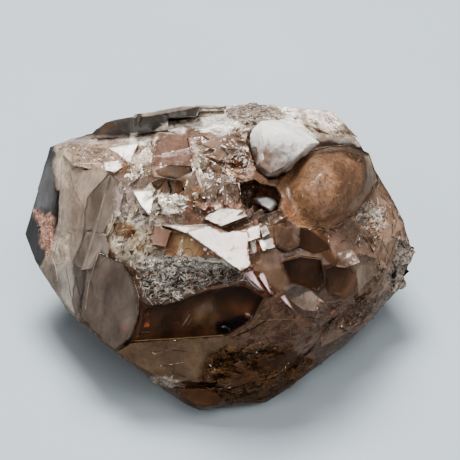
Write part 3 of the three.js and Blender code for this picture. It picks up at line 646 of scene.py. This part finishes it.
class Nodes:
    """Short ways to add and join the nodes of one material."""

    def __init__(self, name):
        self.material = bpy.data.materials.new(name)
        self.material.use_nodes = True
        self.tree = self.material.node_tree
        self.tree.nodes.clear()
        self.output = self.add("ShaderNodeOutputMaterial")

    def add(self, kind, inputs=None, **settings):
        node = self.tree.nodes.new(kind)
        for key, value in settings.items():
            setattr(node, key, value)
        for key, value in (inputs or {}).items():
            self.feed(node.inputs[key], value)
        return node

    def feed(self, socket, value):
        if isinstance(value, bpy.types.NodeSocket):
            self.tree.links.new(value, socket)
        else:
            socket.default_value = value

    def math(self, operation, first, second=0.0, clamp=False):
        node = self.add("ShaderNodeMath", operation=operation, use_clamp=clamp)
        self.feed(node.inputs[0], first)
        self.feed(node.inputs[1], second)
        return node.outputs[0]

    def times(self, first, second):
        return self.math("MULTIPLY", first, second)

    def tinted(self, colour, tone):
        return self.mix(1.0, colour, tone, "MULTIPLY")

    def place(self):
        return self.add("ShaderNodeTexCoord").outputs["Object"]

    def attribute(self, name, output="Color"):
        return self.add("ShaderNodeAttribute", attribute_name=name).outputs[output]

    def bump(self, strength, height, **more):
        inputs = {"Strength": strength, "Distance": BUMP_DISTANCE, "Height": height, **more}
        return self.add("ShaderNodeBump", inputs).outputs["Normal"]

    def finished(self, inputs):
        """The material, with a principled surface that has these inputs."""
        surface = self.add("ShaderNodeBsdfPrincipled", inputs)
        self.feed(self.output.inputs["Surface"], surface.outputs[0])
        return self.material

    def mix(self, share, first, second, blend="MIX"):
        node = self.add("ShaderNodeMix", data_type="RGBA", blend_type=blend)
        self.feed(node.inputs[0], share)
        self.feed(node.inputs[6], first)
        self.feed(node.inputs[7], second)
        return node.outputs[2]

    def parts(self, colour):
        outputs = self.add("ShaderNodeSeparateColor", {"Color": colour}).outputs
        return outputs["Red"], outputs["Green"], outputs["Blue"]

    def noise(self, place, scale, detail, roughness):
        return self.add("ShaderNodeTexNoise", {"Vector": place, "Scale": scale, "Detail": detail,
                                               "Roughness": roughness}).outputs["Fac"]

    def flakes(self, place, scale, metric="EUCLIDEAN"):
        """Three numbers, as a colour, for each cell of a broken pattern."""
        cells = self.add("ShaderNodeTexVoronoi", {"Vector": place, "Scale": scale}, distance=metric)
        return cells.outputs["Color"]

    def threads(self, place, scale, width):
        """Thin, wandering lines: 1 on a line and 0 between them."""
        waves = self.noise(place, scale, 4, 0.55)
        off = self.math("ABSOLUTE", self.math("SUBTRACT", waves, 0.5))
        return self.ramp(off, [(0.0, 1.0), (width, 0.0)])

    def add_up(self, vector, other, share):
        inputs = {0: other, 1: (share,) * 3, 2: vector}
        node = self.add("ShaderNodeVectorMath", inputs, operation="MULTIPLY_ADD")
        return node.outputs["Vector"]

    def tilted(self, normal, cells, amount):
        """The normal, turned another way in each cell, as the facets of a broken surface are."""
        centred = self.add("ShaderNodeVectorMath", {0: cells, 1: (0.5, 0.5, 0.5)}, operation="SUBTRACT")
        inputs = {0: centred.outputs["Vector"], "Scale": amount}
        scaled = self.add("ShaderNodeVectorMath", inputs, operation="SCALE")
        total = self.add("ShaderNodeVectorMath", {0: normal, 1: scaled.outputs["Vector"]}, operation="ADD")
        unit = self.add("ShaderNodeVectorMath", {0: total.outputs["Vector"]}, operation="NORMALIZE")
        return unit.outputs["Vector"]

    def stretched(self, place, degrees, squeeze):
        """The place, squeezed along a direction of the picture so that a pattern runs that way."""
        joined = self.add("ShaderNodeCombineXYZ")
        ways = (along_picture(degrees) * squeeze, along_picture(degrees + 90), TOWARD_VIEWER)
        for socket, way in zip(joined.inputs, ways):
            dot = self.add("ShaderNodeVectorMath", {0: place, 1: tuple(way)}, operation="DOT_PRODUCT")
            self.feed(socket, dot.outputs["Value"])
        return joined.outputs[0]

    def ramp(self, share, stops):
        node = self.add("ShaderNodeValToRGB", {"Fac": share})
        ramp = node.color_ramp
        while len(ramp.elements) < len(stops):
            ramp.elements.new(1)
        for element, (place, tone) in zip(ramp.elements, stops):
            element.position = place
            element.color = (*tone, 1) if isinstance(tone, tuple) else (tone, tone, tone, 1)
        return node.outputs["Color"]


def calm_look(n, place, zone, broken, lined, calm):
    """The clouded depth, inner planes painted as soft inner reflections, and fine lines of whole crystal.
    Returns its colour and its depth.
    """
    drawn = n.mix(broken, n.stretched(place, STRIATION_ANGLE, 0.5), place)
    clouds = n.noise(drawn, CLOUDS, 4, 0.6)
    soft_depth = n.ramp(clouds, [(0.34, 0.1), (0.66, 0.95)])
    depth = n.mix(broken, soft_depth, n.ramp(clouds, [(0.36, 0.0), (0.62, 1.0)]))
    base = n.mix(depth, n.tinted(zone, DEEPER), n.tinted(zone, GLOWING))
    warped = n.add_up(n.stretched(place, STRIATION_ANGLE, 0.4), n.noise(place, WARP, 2, 0.5), 0.003)
    # inner planes: soft polygons of painted inner reflection
    inner = n.parts(n.flakes(warped, INNER_PLANES, "CHEBYCHEV"))[0]
    planes = n.ramp(inner, [(0.15, 0.8), (0.3, 0.96), (0.7, 1.0), (0.85, 1.14)])
    base = n.mix(calm, base, n.tinted(base, planes))
    lines = n.ramp(n.noise(lined, LINES, 3, 0.6), [(0.35, 0.0), (0.75, 1.0)])
    return n.mix(n.times(n.times(lines, calm), 0.3), base, n.tinted(base, PALER)), depth


def broken_look(n, base, place, zone, broken, glint, strewn, flakes):
    """Dark and pale flakes standing for facets in painted shade and painted highlight, painted flashes and
    sparkles, cracks and curled threads over the broken ground.
    """
    large, small = flakes
    mixed = n.math("ADD", n.times(n.parts(large)[0], 0.55), n.times(n.parts(small)[0], 0.45))
    curls = n.threads(strewn, CURLS, 0.022)
    fine_curls = n.threads(n.add_up(strewn, place, 0.4), FINE_CURLS, 0.03)
    # dark and pale flakes are painted shade and highlight on facets; flashes and sparkles are painted glints
    marks = (
        (n.ramp(mixed, [(0.25, 1.0), (0.42, 0.0)]), broken, 0.85, SHADED),
        (n.ramp(mixed, [(0.6, 0.0), (0.8, 1.0)]), broken, 0.8, PALER),
        (n.math("GREATER_THAN", glint, 0.8), n.math("POWER", broken, 1.6), 0.8, BRIGHT),
        (n.threads(strewn, CRACKS, 0.03), broken, 0.75, SHADED),
        (n.math("MAXIMUM", curls, fine_curls), broken, 0.8, BRIGHT),
        (n.math("GREATER_THAN", n.noise(place, SPARKLES, 2, 0.5), 0.735), broken, 1.0, BRIGHT),
    )
    for share, where, amount, tone in marks:
        base = n.mix(n.times(n.times(share, where), amount), base, n.tinted(zone, tone))
    return base


def rounded_look(n, base, place, speckled):
    """Brown specks and golden sparks on the rounded crystal."""
    specks = n.ramp(n.noise(place, SPECKS, 6, 0.85), [(0.46, 0.0), (0.54, 1.0)])
    base = n.mix(n.times(specks, n.times(speckled, 0.6)), base, (*UMBER, 1))
    sparks = n.ramp(n.noise(place, SPARKS, 4, 0.7), [(0.54, 0.0), (0.66, 1.0)])
    return n.mix(n.times(sparks, n.times(speckled, 0.36)), base, (*STRAW, 1))


def smoky_relief(n, lined, broken, strewn, flakes):
    """Small facets and grain, as a turned normal."""
    large, small = flakes
    facing = n.add("ShaderNodeNewGeometry").outputs["Normal"]
    tilted = n.tilted(facing, large, n.times(broken, 1.1))
    tilted = n.tilted(tilted, small, n.math("ADD", n.times(broken, 0.8), 0.015))
    grain = n.mix(broken, n.noise(lined, CALM_GRAIN, 3, 0.6), n.noise(strewn, BROKEN_GRAIN, 3, 0.6))
    return n.bump(n.math("ADD", 0.14, n.times(broken, 0.2)), grain, Normal=tilted)


def smoky_material():
    n = Nodes("smoky_quartz_look")
    place, zone = n.place(), n.attribute("tone")
    clear, broken, glint = n.parts(n.attribute("state"))
    fibre, edge, speckled = n.parts(n.attribute("relief"))
    calm = n.math("SUBTRACT", 1.0, broken)
    lined = n.stretched(place, STRIATION_ANGLE, 0.1)
    strewn = n.mix(fibre, place, n.stretched(place, FIBRE_ANGLE, 0.22))
    flakes = n.flakes(strewn, LARGE_FLAKES), n.flakes(strewn, SMALL_FLAKES)

    base, depth = calm_look(n, place, zone, broken, lined, calm)
    base = broken_look(n, base, place, zone, broken, glint, strewn, flakes)
    base = rounded_look(n, base, place, speckled)
    # painted highlight: outward ridges that face the viewer are made paler
    base = n.mix(n.times(edge, 0.6), base, n.tinted(base, PALER))
    see_through = n.math("MULTIPLY", clear, n.math("SUBTRACT", 1.6, n.times(depth, 0.7)), clamp=True)
    satin = n.math("ADD", 0.04, n.times(depth, 0.12))
    roughness = n.math("ADD", n.times(n.attribute("dull", "Fac"), 0.22), satin)

    absorb = n.add("ShaderNodeVolumeAbsorption", {"Color": SMOKE_TINT, "Density": SMOKE_DENSITY})
    n.feed(n.output.inputs["Volume"], absorb.outputs[0])
    normal = smoky_relief(n, lined, broken, strewn, flakes)
    return n.finished({"Base Color": base, "Roughness": roughness, "IOR": QUARTZ_IOR,
                       "Specular IOR Level": 0.5, "Transmission Weight": see_through, "Normal": normal})


def milky_material():
    n = Nodes("milky_quartz_look")
    place = n.place()
    clouds = n.noise(place, 180, 5, 0.6)
    base = n.mix(n.ramp(clouds, [(0.35, 0.0), (0.7, 0.05)]), n.attribute("tone"), (*SNOW, 1))
    return n.finished({"Base Color": base, "Roughness": 0.32, "IOR": QUARTZ_IOR, "Subsurface Weight": 0.1,
                       "Subsurface Scale": 0.002, "Normal": n.bump(0.45, n.noise(place, 1100, 4, 0.5))})


def milky_shade(points):
    """How much painted shade the milky crystal has, from 0 to 1: it deepens toward its lower left, where it
    turns brown.
    """
    x, y, _ = in_picture(points)
    downward = np.clip((y - MILKY_SHADE_TOP) / MILKY_SHADE_DOWN, 0, 1)
    return downward * np.clip((MILKY_SHADE_RIGHT - x) / MILKY_SHADE_LEFT, 0, 1)


def milky_piece(node, name, material):
    """A seated crystal: its solid with softened edges and small breaks."""
    piece = refined_copy(node, name, even(MILKY_EDGE))
    mesh = piece.data
    points, pairs = points_of(mesh), edges_of(mesh)
    points = smoothed(points, pairs, np.full(len(points), 0.4), 1)
    put_points(mesh, points)
    normals = normals_of(mesh)
    broad, _ = plates(points, MILKY_BREAK_SIZE, 11)
    small, _ = plates(points, MILKY_CHIP_SIZE, 13)
    lift = np.minimum(0.3 * broad + 0.14 * small - 0.08, 0.2)
    points = points + normals * (lift * MM)[:, None]
    put_points(mesh, points)
    shaded = milky_shade(points) if node == "milky_crystal" else np.zeros(len(points))
    shaded = np.clip(shaded * (1 + 0.5 * wavering(points, MILKY_MOTTLE_SIZE, 14)), 0, 1)[:, None]
    # painted shade: the milky crystal turns brown toward its lower left
    paint(mesh, "tone", np.array(SNOW) * (1 - shaded) + np.array(COCOA) * shaded)
    shade(mesh, 24)
    mesh.materials.append(material)
    return piece


# Splinters, chips and seams: fine pieces of crystal that lie on the broken ground

class Heap:
    """Many small closed solids, gathered in one mesh."""

    def __init__(self):
        self.points, self.faces, self.tones = [], [], []

    def add(self, points, faces, tone):
        first = len(self.points)
        self.points += points
        self.faces += [tuple(first + i for i in face) for face in faces]
        self.tones += [tone] * len(points)

    def piece(self, name):
        mesh = bpy.data.meshes.new(name)
        mesh.from_pydata(self.points, [], self.faces)
        work = bmesh.new()
        work.from_mesh(mesh)
        bmesh.ops.recalc_face_normals(work, faces=work.faces)
        bmesh.ops.triangulate(work, faces=work.faces)
        work.to_mesh(mesh)
        work.free()
        paint(mesh, "tone", np.array(self.tones))
        piece = placed(name, mesh)
        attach(piece, "root")
        return piece


def strand(heap, path, up, radius, tone):
    """A three-sided splinter along a path, drawn out to a point at both ends."""
    points = [path[0]]
    for before, here, after in zip(path, path[1:], path[2:]):
        side = (after - before).cross(up).normalized() * radius
        points += [here + side, here - side, here + up * radius]
    points.append(path[-1])
    end = len(points) - 1
    rings = [(i, i + 1, i + 2) for i in range(1, end, 3)]
    faces = []
    for a, b in ((0, 1), (1, 2), (2, 0)):
        faces += [(0, rings[0][b], rings[0][a]), (end, rings[-1][a], rings[-1][b])]
        faces += [(ring[a], ring[b], following[b], following[a]) for ring, following in zip(rings, rings[1:])]
    heap.add(points, faces, tone)


def chip(heap, place, up, size, tone, draw):
    """A thin flake with three to five corners, square to `up`."""
    across = up.orthogonal().normalized()
    along = up.cross(across)
    corners, turn = draw.randint(3, 5), draw.uniform(0, math.tau)
    ring = []
    for i in range(corners):
        angle = turn + math.tau * (i + draw.uniform(-0.25, 0.25)) / corners
        way = across * math.cos(angle) + along * math.sin(angle) * CHIP_NARROWNESS
        ring.append(place + way * size * draw.uniform(0.6, 1))
    half = up * size * CHIP_FLATNESS
    points = [corner + half for corner in ring] + [corner - half for corner in ring]
    faces = [tuple(range(corners)), tuple(range(2 * corners - 1, corners - 1, -1))]
    faces += [(i, i + corners, (i + 1) % corners + corners, (i + 1) % corners) for i in range(corners)]
    heap.add(points, faces, tone)


def sight(tree, x, y):
    """Where the line of sight through pixel (x, y) first meets the crystal, and the normal there."""
    eye = Vector(PICTURE_CENTRE + TOWARD_VIEWER * VIEW_DISTANCE)
    hit, normal, _, _ = tree.ray_cast(eye, Vector(seen(x, y, 0)) - eye)
    return hit, normal


def places_in(zone, count, draw):
    """That many random pixels inside a zone, less those that a later zone covers."""
    corners = ZONES[zone][0]
    xs, ys = zip(*corners)
    x = np.array([draw.uniform(min(xs), max(xs)) for _ in range(count * 2)])
    y = np.array([draw.uniform(min(ys), max(ys)) for _ in range(count * 2)])
    free = inside(x, y, corners, 1) > 0.5
    later = list(ZONES)[list(ZONES).index(zone) + 1:]
    for other in later:
        if zone != "fibre_band" or other != "fibre_crest":
            free &= inside(x, y, ZONES[other][0], 2) < 0.5
    return list(zip(x[free], y[free]))[:count]


def scatter_strands(heap, tree, zone, count, length, degrees, spread, tones, draw):
    """Curling splinters that run about one way across a zone."""
    for x, y in places_in(zone, count, draw):
        angle = math.radians(degrees + draw.gauss(0, spread))
        bend = draw.gauss(0, STRAND_BEND)
        reach = length * draw.uniform(0.4, 1.3) / MM_PER_PIXEL / STRAND_STEPS
        path, up = [], None
        for step in range(STRAND_STEPS):
            hit, normal = sight(tree, x, y)
            if hit is None or path and (hit - path[-1]).length > 3 * reach * MM_PER_PIXEL * MM:
                break
            up = up or normal
            lift = math.sin(math.pi * step / (STRAND_STEPS - 1)) * STRAND_LIFT
            path.append(hit + normal * lift)
            x, y = x + reach * math.cos(angle), y - reach * math.sin(angle)
            angle += bend
        if len(path) >= FEWEST_PLACES:
            strand(heap, path, up, STRAND_RADIUS * draw.uniform(0.6, 1.4), draw.choice(tones))


def scatter_chips(heap, tree, zone, count, size, tones, draw):
    """Flakes that stand in the broken ground at all angles."""
    for x, y in places_in(zone, count, draw):
        hit, normal = sight(tree, x, y)
        if hit is not None:
            up = (normal + Vector([draw.gauss(0, CHIP_LEAN) for _ in range(3)])).normalized()
            chip(heap, hit, up, size * draw.uniform(0.4, 1.3) * MM, draw.choice(tones), draw)


def splinters(tree):
    """The curled fibres and drawn-out splinters of the broken ground."""
    heap, draw = Heap(), random.Random(3)
    for zone, count, length, degrees, spread, tones in STRANDS:
        scatter_strands(heap, tree, zone, count, length, degrees, spread, tones, draw)
    return heap.piece("quartz_splinters")


def chips(tree):
    heap, draw = Heap(), random.Random(4)
    for zone, count, size, tones in CHIPS:
        scatter_chips(heap, tree, zone, count, size, tones, draw)
    return heap.piece("quartz_chips")


def seams(tree):
    """Thin bright edges, painted highlights along facet edges, and dark cracks that run where the corners say.
    """
    heap = Heap()
    for corners, width, tone in SEAMS.values():
        path, up = [], None
        for (ax, ay), (bx, by) in zip(corners, corners[1:]):
            steps = max(2, round(math.hypot(bx - ax, by - ay) / 2))
            for i in range(steps):
                hit, normal = sight(tree, ax + (bx - ax) * i / steps, ay + (by - ay) * i / steps)
                if hit is None or path and (hit - path[-1]).length > 2 * MM:
                    continue
                up = up or normal
                path.append(hit)
        if len(path) >= FEWEST_PLACES:
            strand(heap, path, up, width / 2 * MM, tone)
    return heap.piece("quartz_seams")


def splinter_material():
    n = Nodes("splinter_look")
    tone = n.attribute("tone")
    clouds = n.ramp(n.noise(n.place(), 900, 3, 0.6), [(0.35, 0.0), (0.65, 1.0)])
    base = n.mix(clouds, n.tinted(tone, DEEPER), tone)
    return n.finished({"Base Color": base, "Roughness": 0.12, "IOR": QUARTZ_IOR, "Transmission Weight": 0.25})


STRAND_STEPS = 8
STRAND_LIFT = 0.25 * MM
STRAND_RADIUS = 0.052 * MM
STRAND_BEND = 0.24  # in radians a step
CHIP_LEAN = 0.5
CHIP_FLATNESS = 0.1
CHIP_NARROWNESS = 0.6
FEWEST_PLACES = 4  # a path with fewer places is left out
STRANDS = (  # zone, count, length in mm, direction and spread in degrees, colours
    ("fibre_band", 820, 2.2, 14, 46, (SNOW, SNOW, SNOW, MILK, VEIL, INK, INK)),
    ("rounded_gold", 340, 0.6, 30, 70, (STRAW, STRAW, HONEY, GOLD, UMBER)),
    ("rounded", 90, 0.7, 30, 60, (STRAW, HONEY, BARK)),
    ("fibre_crest", 150, 3.6, 8, 22, (SNOW, SNOW, VEIL, HONEY, SAND, COCOA)),
    ("glitter_patch", 80, 2.2, 40, 60, (SNOW, VEIL, SAND, COCOA)),
    ("pale_seam", 60, 4.0, 55, 24, (SNOW, VEIL, STRAW, HONEY, COCOA)),
    ("petals", 12, 2.4, 80, 20, (BLUSH, SAND, BARK)),
    ("glitter_swirl", 50, 1.8, 40, 60, (SNOW, VEIL, BARK)),
    ("brown_dome", 20, 1.6, 40, 50, (VEIL, SHADE)),
    ("right_glitter", 50, 2.0, 70, 40, (SNOW, VEIL, COCOA)),
    ("top_middle", 40, 2.0, 30, 50, (VEIL, SAND, BARK, COCOA)),
    ("upper_band", 26, 3.0, 10, 20, (SNOW, VEIL, COCOA)),
    ("right_side", 26, 2.6, 66, 14, (SAND, TAN, SHADE)),
    ("right_veil", 24, 2.4, 74, 14, (SAND, BLUSH, SHADE)),
    ("far_panel", 14, 2.2, 60, 20, (TAN, GLOOM)),
    ("left_face", 26, 4.0, 104, 10, (VEIL, SAND, TAN)),
    ("golden_rim", 60, 3.0, 6, 10, (STRAW, HONEY, VEIL, GLOOM)),
    ("right_rim", 70, 2.4, 60, 40, (FOG, PEWTER, INK, SHADE)),
    ("ridge_ground", 44, 3.4, 22, 14, (INK, SHADE, AMBER, HONEY, OLIVE, UMBER)),
    ("foot_ground", 84, 3.4, 16, 20, (INK, SHADE, OLIVE, AMBER, GOLD, UMBER)),
    ("lower_shelf", 14, 4.0, 3, 10, (CLAY, SHADE, HONEY)),
    ("lower_sparkle", 34, 3.0, -8, 14, (SNOW, SNOW, VEIL, HONEY)),
    ("hip", 60, 2.8, 40, 24, (TAUPE, SHADE, HONEY, GLOOM, INK)),
    ("low_rim", 90, 2.2, 50, 26, (PEWTER, FOG, GLOOM, SHADE, INK)),
)
CHIPS = (  # zone, count, size in mm, colours
    ("fibre_band", 90, 0.5, (SNOW, VEIL, IRON, INK)),
    ("glitter_patch", 150, 0.9, (SNOW, SNOW, VEIL, PEARL, TAUPE)),
    ("glitter_white", 60, 0.9, (SNOW, SNOW, VEIL)),
    ("pale_seam", 46, 0.9, (SNOW, VEIL, HONEY, CLAY)),
    ("upper_band", 34, 0.7, (SNOW, VEIL, SAND)),
    ("top_middle", 70, 0.7, (VEIL, SAND, COCOA, TAN)),
    ("petals", 14, 0.9, (VEIL, CLAY)),
    ("glitter_swirl", 70, 0.8, (SNOW, SNOW, VEIL, BARK)),
    ("right_glitter", 60, 0.8, (SNOW, VEIL, SAND)),
    ("glitter_core", 24, 0.9, (SNOW, SNOW, VEIL)),
    ("low_rim", 30, 0.7, (SAND, SMOKE)),
    ("top_slope", 120, 0.8, (SNOW, VEIL, SAND)),
    ("right_side", 16, 0.7, (SAND, CLAY)),
    ("right_rim", 50, 0.9, (SAND, SMOKE, INK)),
    ("rust_patch", 70, 0.4, (BLUSH, RUST, VEIL)),
    ("ridge_ground", 30, 0.7, (AMBER, CLAY)),
    ("foot_ground", 60, 0.7, (AMBER, UMBER, INK)),
    ("lower_sparkle", 14, 0.6, (SNOW, VEIL)),
)
# pale seams along facet edges are painted highlights; the glint, spark and streak seams are painted glints
SEAMS = {  # corners in the picture, width in mm, colour
    "blade_line": ([(110, 174), (97, 224), (83, 270)], 0.3, PEARL),
    "blade_right": ([(110, 173), (126, 190)], 0.16, SHADE),
    "blade_left": ([(109, 174), (92, 192), (86, 210)], 0.16, INK),
    "plate_top": ([(99, 253), (121, 262), (133, 279)], 0.22, INK),
    "plate_left": ([(98, 254), (89, 282), (85, 312)], 0.22, VEIL),
    "plate_right": ([(134, 280), (139, 297), (138, 318)], 0.2, PEARL),
    "low_blade_top": ([(86, 231), (92, 230), (104, 236)], 0.2, INK),
    "left_streak": ([(64, 190), (61, 208), (60, 228)], 0.22, FOG),
    "left_curl": ([(52, 256), (56, 268), (58, 284)], 0.24, FOG),
    "left_curl_low": ([(66, 268), (69, 284), (72, 300)], 0.2, DRAB),
    "band_low_edge": ([(66, 165), (84, 164), (104, 164)], 0.26, SNOW),
    "band_crack": ([(70, 172), (74, 190), (82, 204)], 0.16, TAN),
    "left_edge": ([(62, 160), (60, 196), (58, 240), (52, 262)], 0.22, PEARL),
    "reflection_face_low": ([(166, 225), (187, 233), (214, 252), (238, 270)], 0.2, SNOW),
    "reflection_face_top": ([(164, 224), (188, 226), (211, 224)], 0.2, SNOW),
    "shelf_top": ([(131, 341), (184, 338), (226, 335)], 0.2, HONEY),
    "shelf_crack": ([(150, 352), (172, 350), (190, 352)], 0.16, SHADE),
    "basin_streak_glint": ([(132, 334), (140, 333), (153, 332.5)], 0.55, CLAY),
    "basin_glint": ([(190, 314), (186, 321), (181, 328)], 0.26, VEIL),
    "basin_glint_twin": ([(193, 317), (189, 323), (185, 328)], 0.18, HONEY),
    "basin_mark": ([(198, 324), (200, 329), (203, 323)], 0.2, INK),
    "basin_spark": ([(245, 313), (249, 315), (252, 318)], 0.5, SNOW),
    "basin_spark_low": ([(251, 317), (250, 321), (247, 324)], 0.3, SNOW),
    "lilac_edge": ([(243, 273), (252, 284), (262, 292)], 0.22, SNOW),
    "facet_edge": ([(300, 256), (322, 258), (326, 284)], 0.18, CLAY),
    "rounded_rim": ([(306, 153), (330, 147), (350, 146), (368, 154)], 0.22, INK),
    "rounded_side": ([(369, 154), (374, 172), (374, 184)], 0.2, SHADE),
    "step_edge": ([(97, 120), (110, 113), (134, 112)], 0.16, PEARL),
    "step_corner": ([(134, 114), (133, 130)], 0.16, PEARL),
    "pale_lobe_edge": ([(196, 172), (199, 182), (206, 194)], 0.34, SNOW),
    "brown_lobe_edge": ([(209, 178), (214, 192), (217, 205)], 0.3, VEIL),
    "lobe_slot": ([(221, 178), (223, 192), (222, 205)], 0.34, GLOOM),
    "pink_lobe_edge": ([(234, 181), (239, 192), (240, 205)], 0.24, VEIL),
    "block_side": ([(187, 137), (190, 150), (192, 161)], 0.22, SHADE),
    "block_left": ([(156, 133), (154, 148), (152, 163)], 0.22, VEIL),
    "slot_dark": ([(168, 180), (171, 190), (170, 197)], 0.4, GLOOM),
    "bench_edge": ([(152, 177), (170, 178), (190, 177)], 0.2, BLUSH),
    "lobe_edge": ([(196, 205), (214, 209), (240, 207)], 0.2, VEIL),
    "block_edge": ([(152, 133), (172, 131), (192, 136)], 0.18, VEIL),
    "glitter_edge": ([(352, 222), (360, 208), (372, 201)], 0.2, VEIL),
    "glitter_slash": ([(353, 226), (358, 212), (361, 206)], 0.22, BLUSH),
    "wedge_edge": ([(316, 229), (328, 240), (332, 250)], 0.16, CLAY),
    "golden_line": ([(288, 216), (304, 224), (324, 226)], 0.18, HONEY),
    "golden_line_low": ([(298, 228), (316, 230), (332, 226)], 0.18, HONEY),
    "swirl_line": ([(228, 345), (235, 352), (244, 350), (250, 342)], 0.22, HONEY),
    "swirl_line_top": ([(228, 341), (236, 337), (243, 342)], 0.18, AMBER),
    "swirl_dark": ([(231, 349), (240, 356), (250, 352)], 0.26, INK),
    "ridge_crack": ([(230, 338), (250, 330), (269, 319)], 0.26, INK),
    "ridge_top_line": ([(258, 321), (280, 319), (302, 320)], 0.2, HONEY),
    "foot_crack": ([(208, 372), (226, 362), (248, 354), (270, 350)], 0.3, INK),
    "foot_crack_low": ([(222, 392), (246, 384), (274, 378), (296, 364)], 0.28, INK),
    "glint_foot": ([(228, 388), (230, 387), (233, 388)], 0.36, SNOW),
    "glint_foot_right": ([(271, 382), (273, 384), (275, 387)], 0.34, SNOW),
    "glint_foot_top": ([(209, 364), (211, 366), (213, 368)], 0.34, SNOW),
    "glint_shelf": ([(151, 352), (155, 354), (160, 354)], 0.3, VEIL),
    "glint_band": ([(181, 303), (183, 299), (186, 295)], 0.36, HONEY),
    "ridge_line": ([(230, 338), (250, 326), (262, 312)], 0.16, HONEY),
    "ridge_line_low": ([(240, 346), (268, 338), (300, 334)], 0.14, CLAY),
    "ground_line": ([(214, 366), (240, 358), (276, 354)], 0.14, HONEY),
    "ground_line_low": ([(226, 384), (252, 376), (286, 372)], 0.14, CLAY),
    "ground_line_last": ([(236, 394), (262, 388), (280, 384)], 0.14, HONEY),
    "shelf_line": ([(140, 362), (160, 366), (186, 362)], 0.12, CLAY),
    "pocket_edge": ([(331, 264), (352, 266), (358, 275), (354, 292)], 0.16, CLAY),
    "facet_top": ([(282, 260), (300, 255), (323, 258)], 0.16, HONEY),
    "panel_edge": ([(352, 238), (376, 236), (372, 262)], 0.12, TAN),
    "right_crack": ([(396, 240), (388, 262), (376, 280)], 0.16, GLOOM),
    "basin_line": ([(142, 322), (150, 326), (166, 330)], 0.12, CLAY),
    "basin_arc": ([(172, 322), (190, 326), (212, 322)], 0.14, AMBER),
    "step_corner_right": ([(160, 110), (159, 126)], 0.16, SAND),
}


# Stage

FLOOR_SIZE = 3
FLOOR_DROP = 0.05 * MM
FLOOR_COLOUR = linear("b7c5cd")
FLOOR_ROUGHNESS = 0.75


def plain_material(name, colour, roughness):
    n = Nodes(name)
    clouds = n.noise(n.place(), 14, 6, 0.5)
    base = n.mix(n.ramp(clouds, [(0.3, 0.0), (0.7, 1.0)]), (*(0.93 * c for c in colour), 1), (*colour, 1))
    return n.finished({"Base Color": base, "Roughness": roughness})


def floor():
    bpy.ops.mesh.primitive_plane_add(size=FLOOR_SIZE, location=(0, 0, -FLOOR_DROP))
    plane = bpy.context.object
    plane.name = "floor"
    plane.data.materials.append(plain_material("floor_look", FLOOR_COLOUR, FLOOR_ROUGHNESS))
    plane.visible_glossy = False


def softbox(name, azimuth, elevation, size, power, glint):
    """An area light that faces the specimen. Azimuth is counted from the viewer's side, to the right. One
    that gives no glint lights the crystal, but isn't mirrored in it."""
    a, e = math.radians(azimuth), math.radians(elevation)
    data = bpy.data.lights.new(name, "AREA")
    data.shape = "RECTANGLE"
    data.size, data.size_y = size, size
    data.energy = power
    data.color = DAYLIGHT
    light = placed(name, data)
    way = Vector((math.sin(a) * math.cos(e), -math.cos(a) * math.cos(e), math.sin(e)))
    light.location = way * LIGHT_DISTANCE + LIT_PLACE
    light.rotation_euler = way.to_track_quat("Z", "Y").to_euler()
    light.visible_glossy = glint


LIGHT_DISTANCE = 0.9
LIT_PLACE = Vector((0, 0, 0.02))
DAYLIGHT = (1.0, 0.98, 0.96)
ROOM_COLOUR = (0.86, 0.87, 0.88, 1)
ROOM_STRENGTH = 0.14
LIGHTS = (  # name, azimuth, elevation, size in metres, power in watts, whether it gives a glint
    ("window", -165, 72, 0.42, 17, True),
    ("front_fill", 25, 62, 0.5, 3.6, False),
    ("left_card", -80, 30, 0.45, 0.6, False),
    ("window_glint", -165, 70, 0.12, 1.1, True),
    ("front_glint", 8, 44, 0.09, 0.55, True),
    ("side_glint", -50, 50, 0.09, 0.55, True),
    ("right_glint", 70, 48, 0.09, 0.55, True),
)


def lights():
    for row in LIGHTS:
        softbox(*row)
    world = bpy.data.worlds.new("pale_room")
    world.use_nodes = True
    background = world.node_tree.nodes["Background"].inputs
    background["Color"].default_value = ROOM_COLOUR
    background["Strength"].default_value = ROOM_STRENGTH
    bpy.context.scene.world = world


SENSOR_WIDTH = 36  # in millimetres


def camera():
    data = bpy.data.cameras.new("photo_view")
    data.sensor_width = SENSOR_WIDTH
    data.lens = SENSOR_WIDTH * VIEW_DISTANCE / (PICTURE_SIZE * MM_PER_PIXEL * MM)
    data.clip_start = 0.01
    data.clip_end = 20
    view = placed("photo_view", data)
    toward = Vector(TOWARD_VIEWER)
    view.location = Vector(PICTURE_CENTRE) + toward * VIEW_DISTANCE
    view.rotation_euler = toward.to_track_quat("Z", "Y").to_euler()
    bpy.context.scene.camera = view


camera()
lights()
floor()
stone = smoky_quartz()
surface = BVHTree.FromObject(stone, bpy.context.evaluated_depsgraph_get())
splinter = splinter_material()
for piece in (splinters(surface), chips(surface), seams(surface)):
    piece.data.materials.append(splinter)
milk = milky_material()
milky_piece("milky_crystal", "milky_quartz_crystal", milk)
milky_piece("pocket_crystal", "small_pocket_crystal", milk)
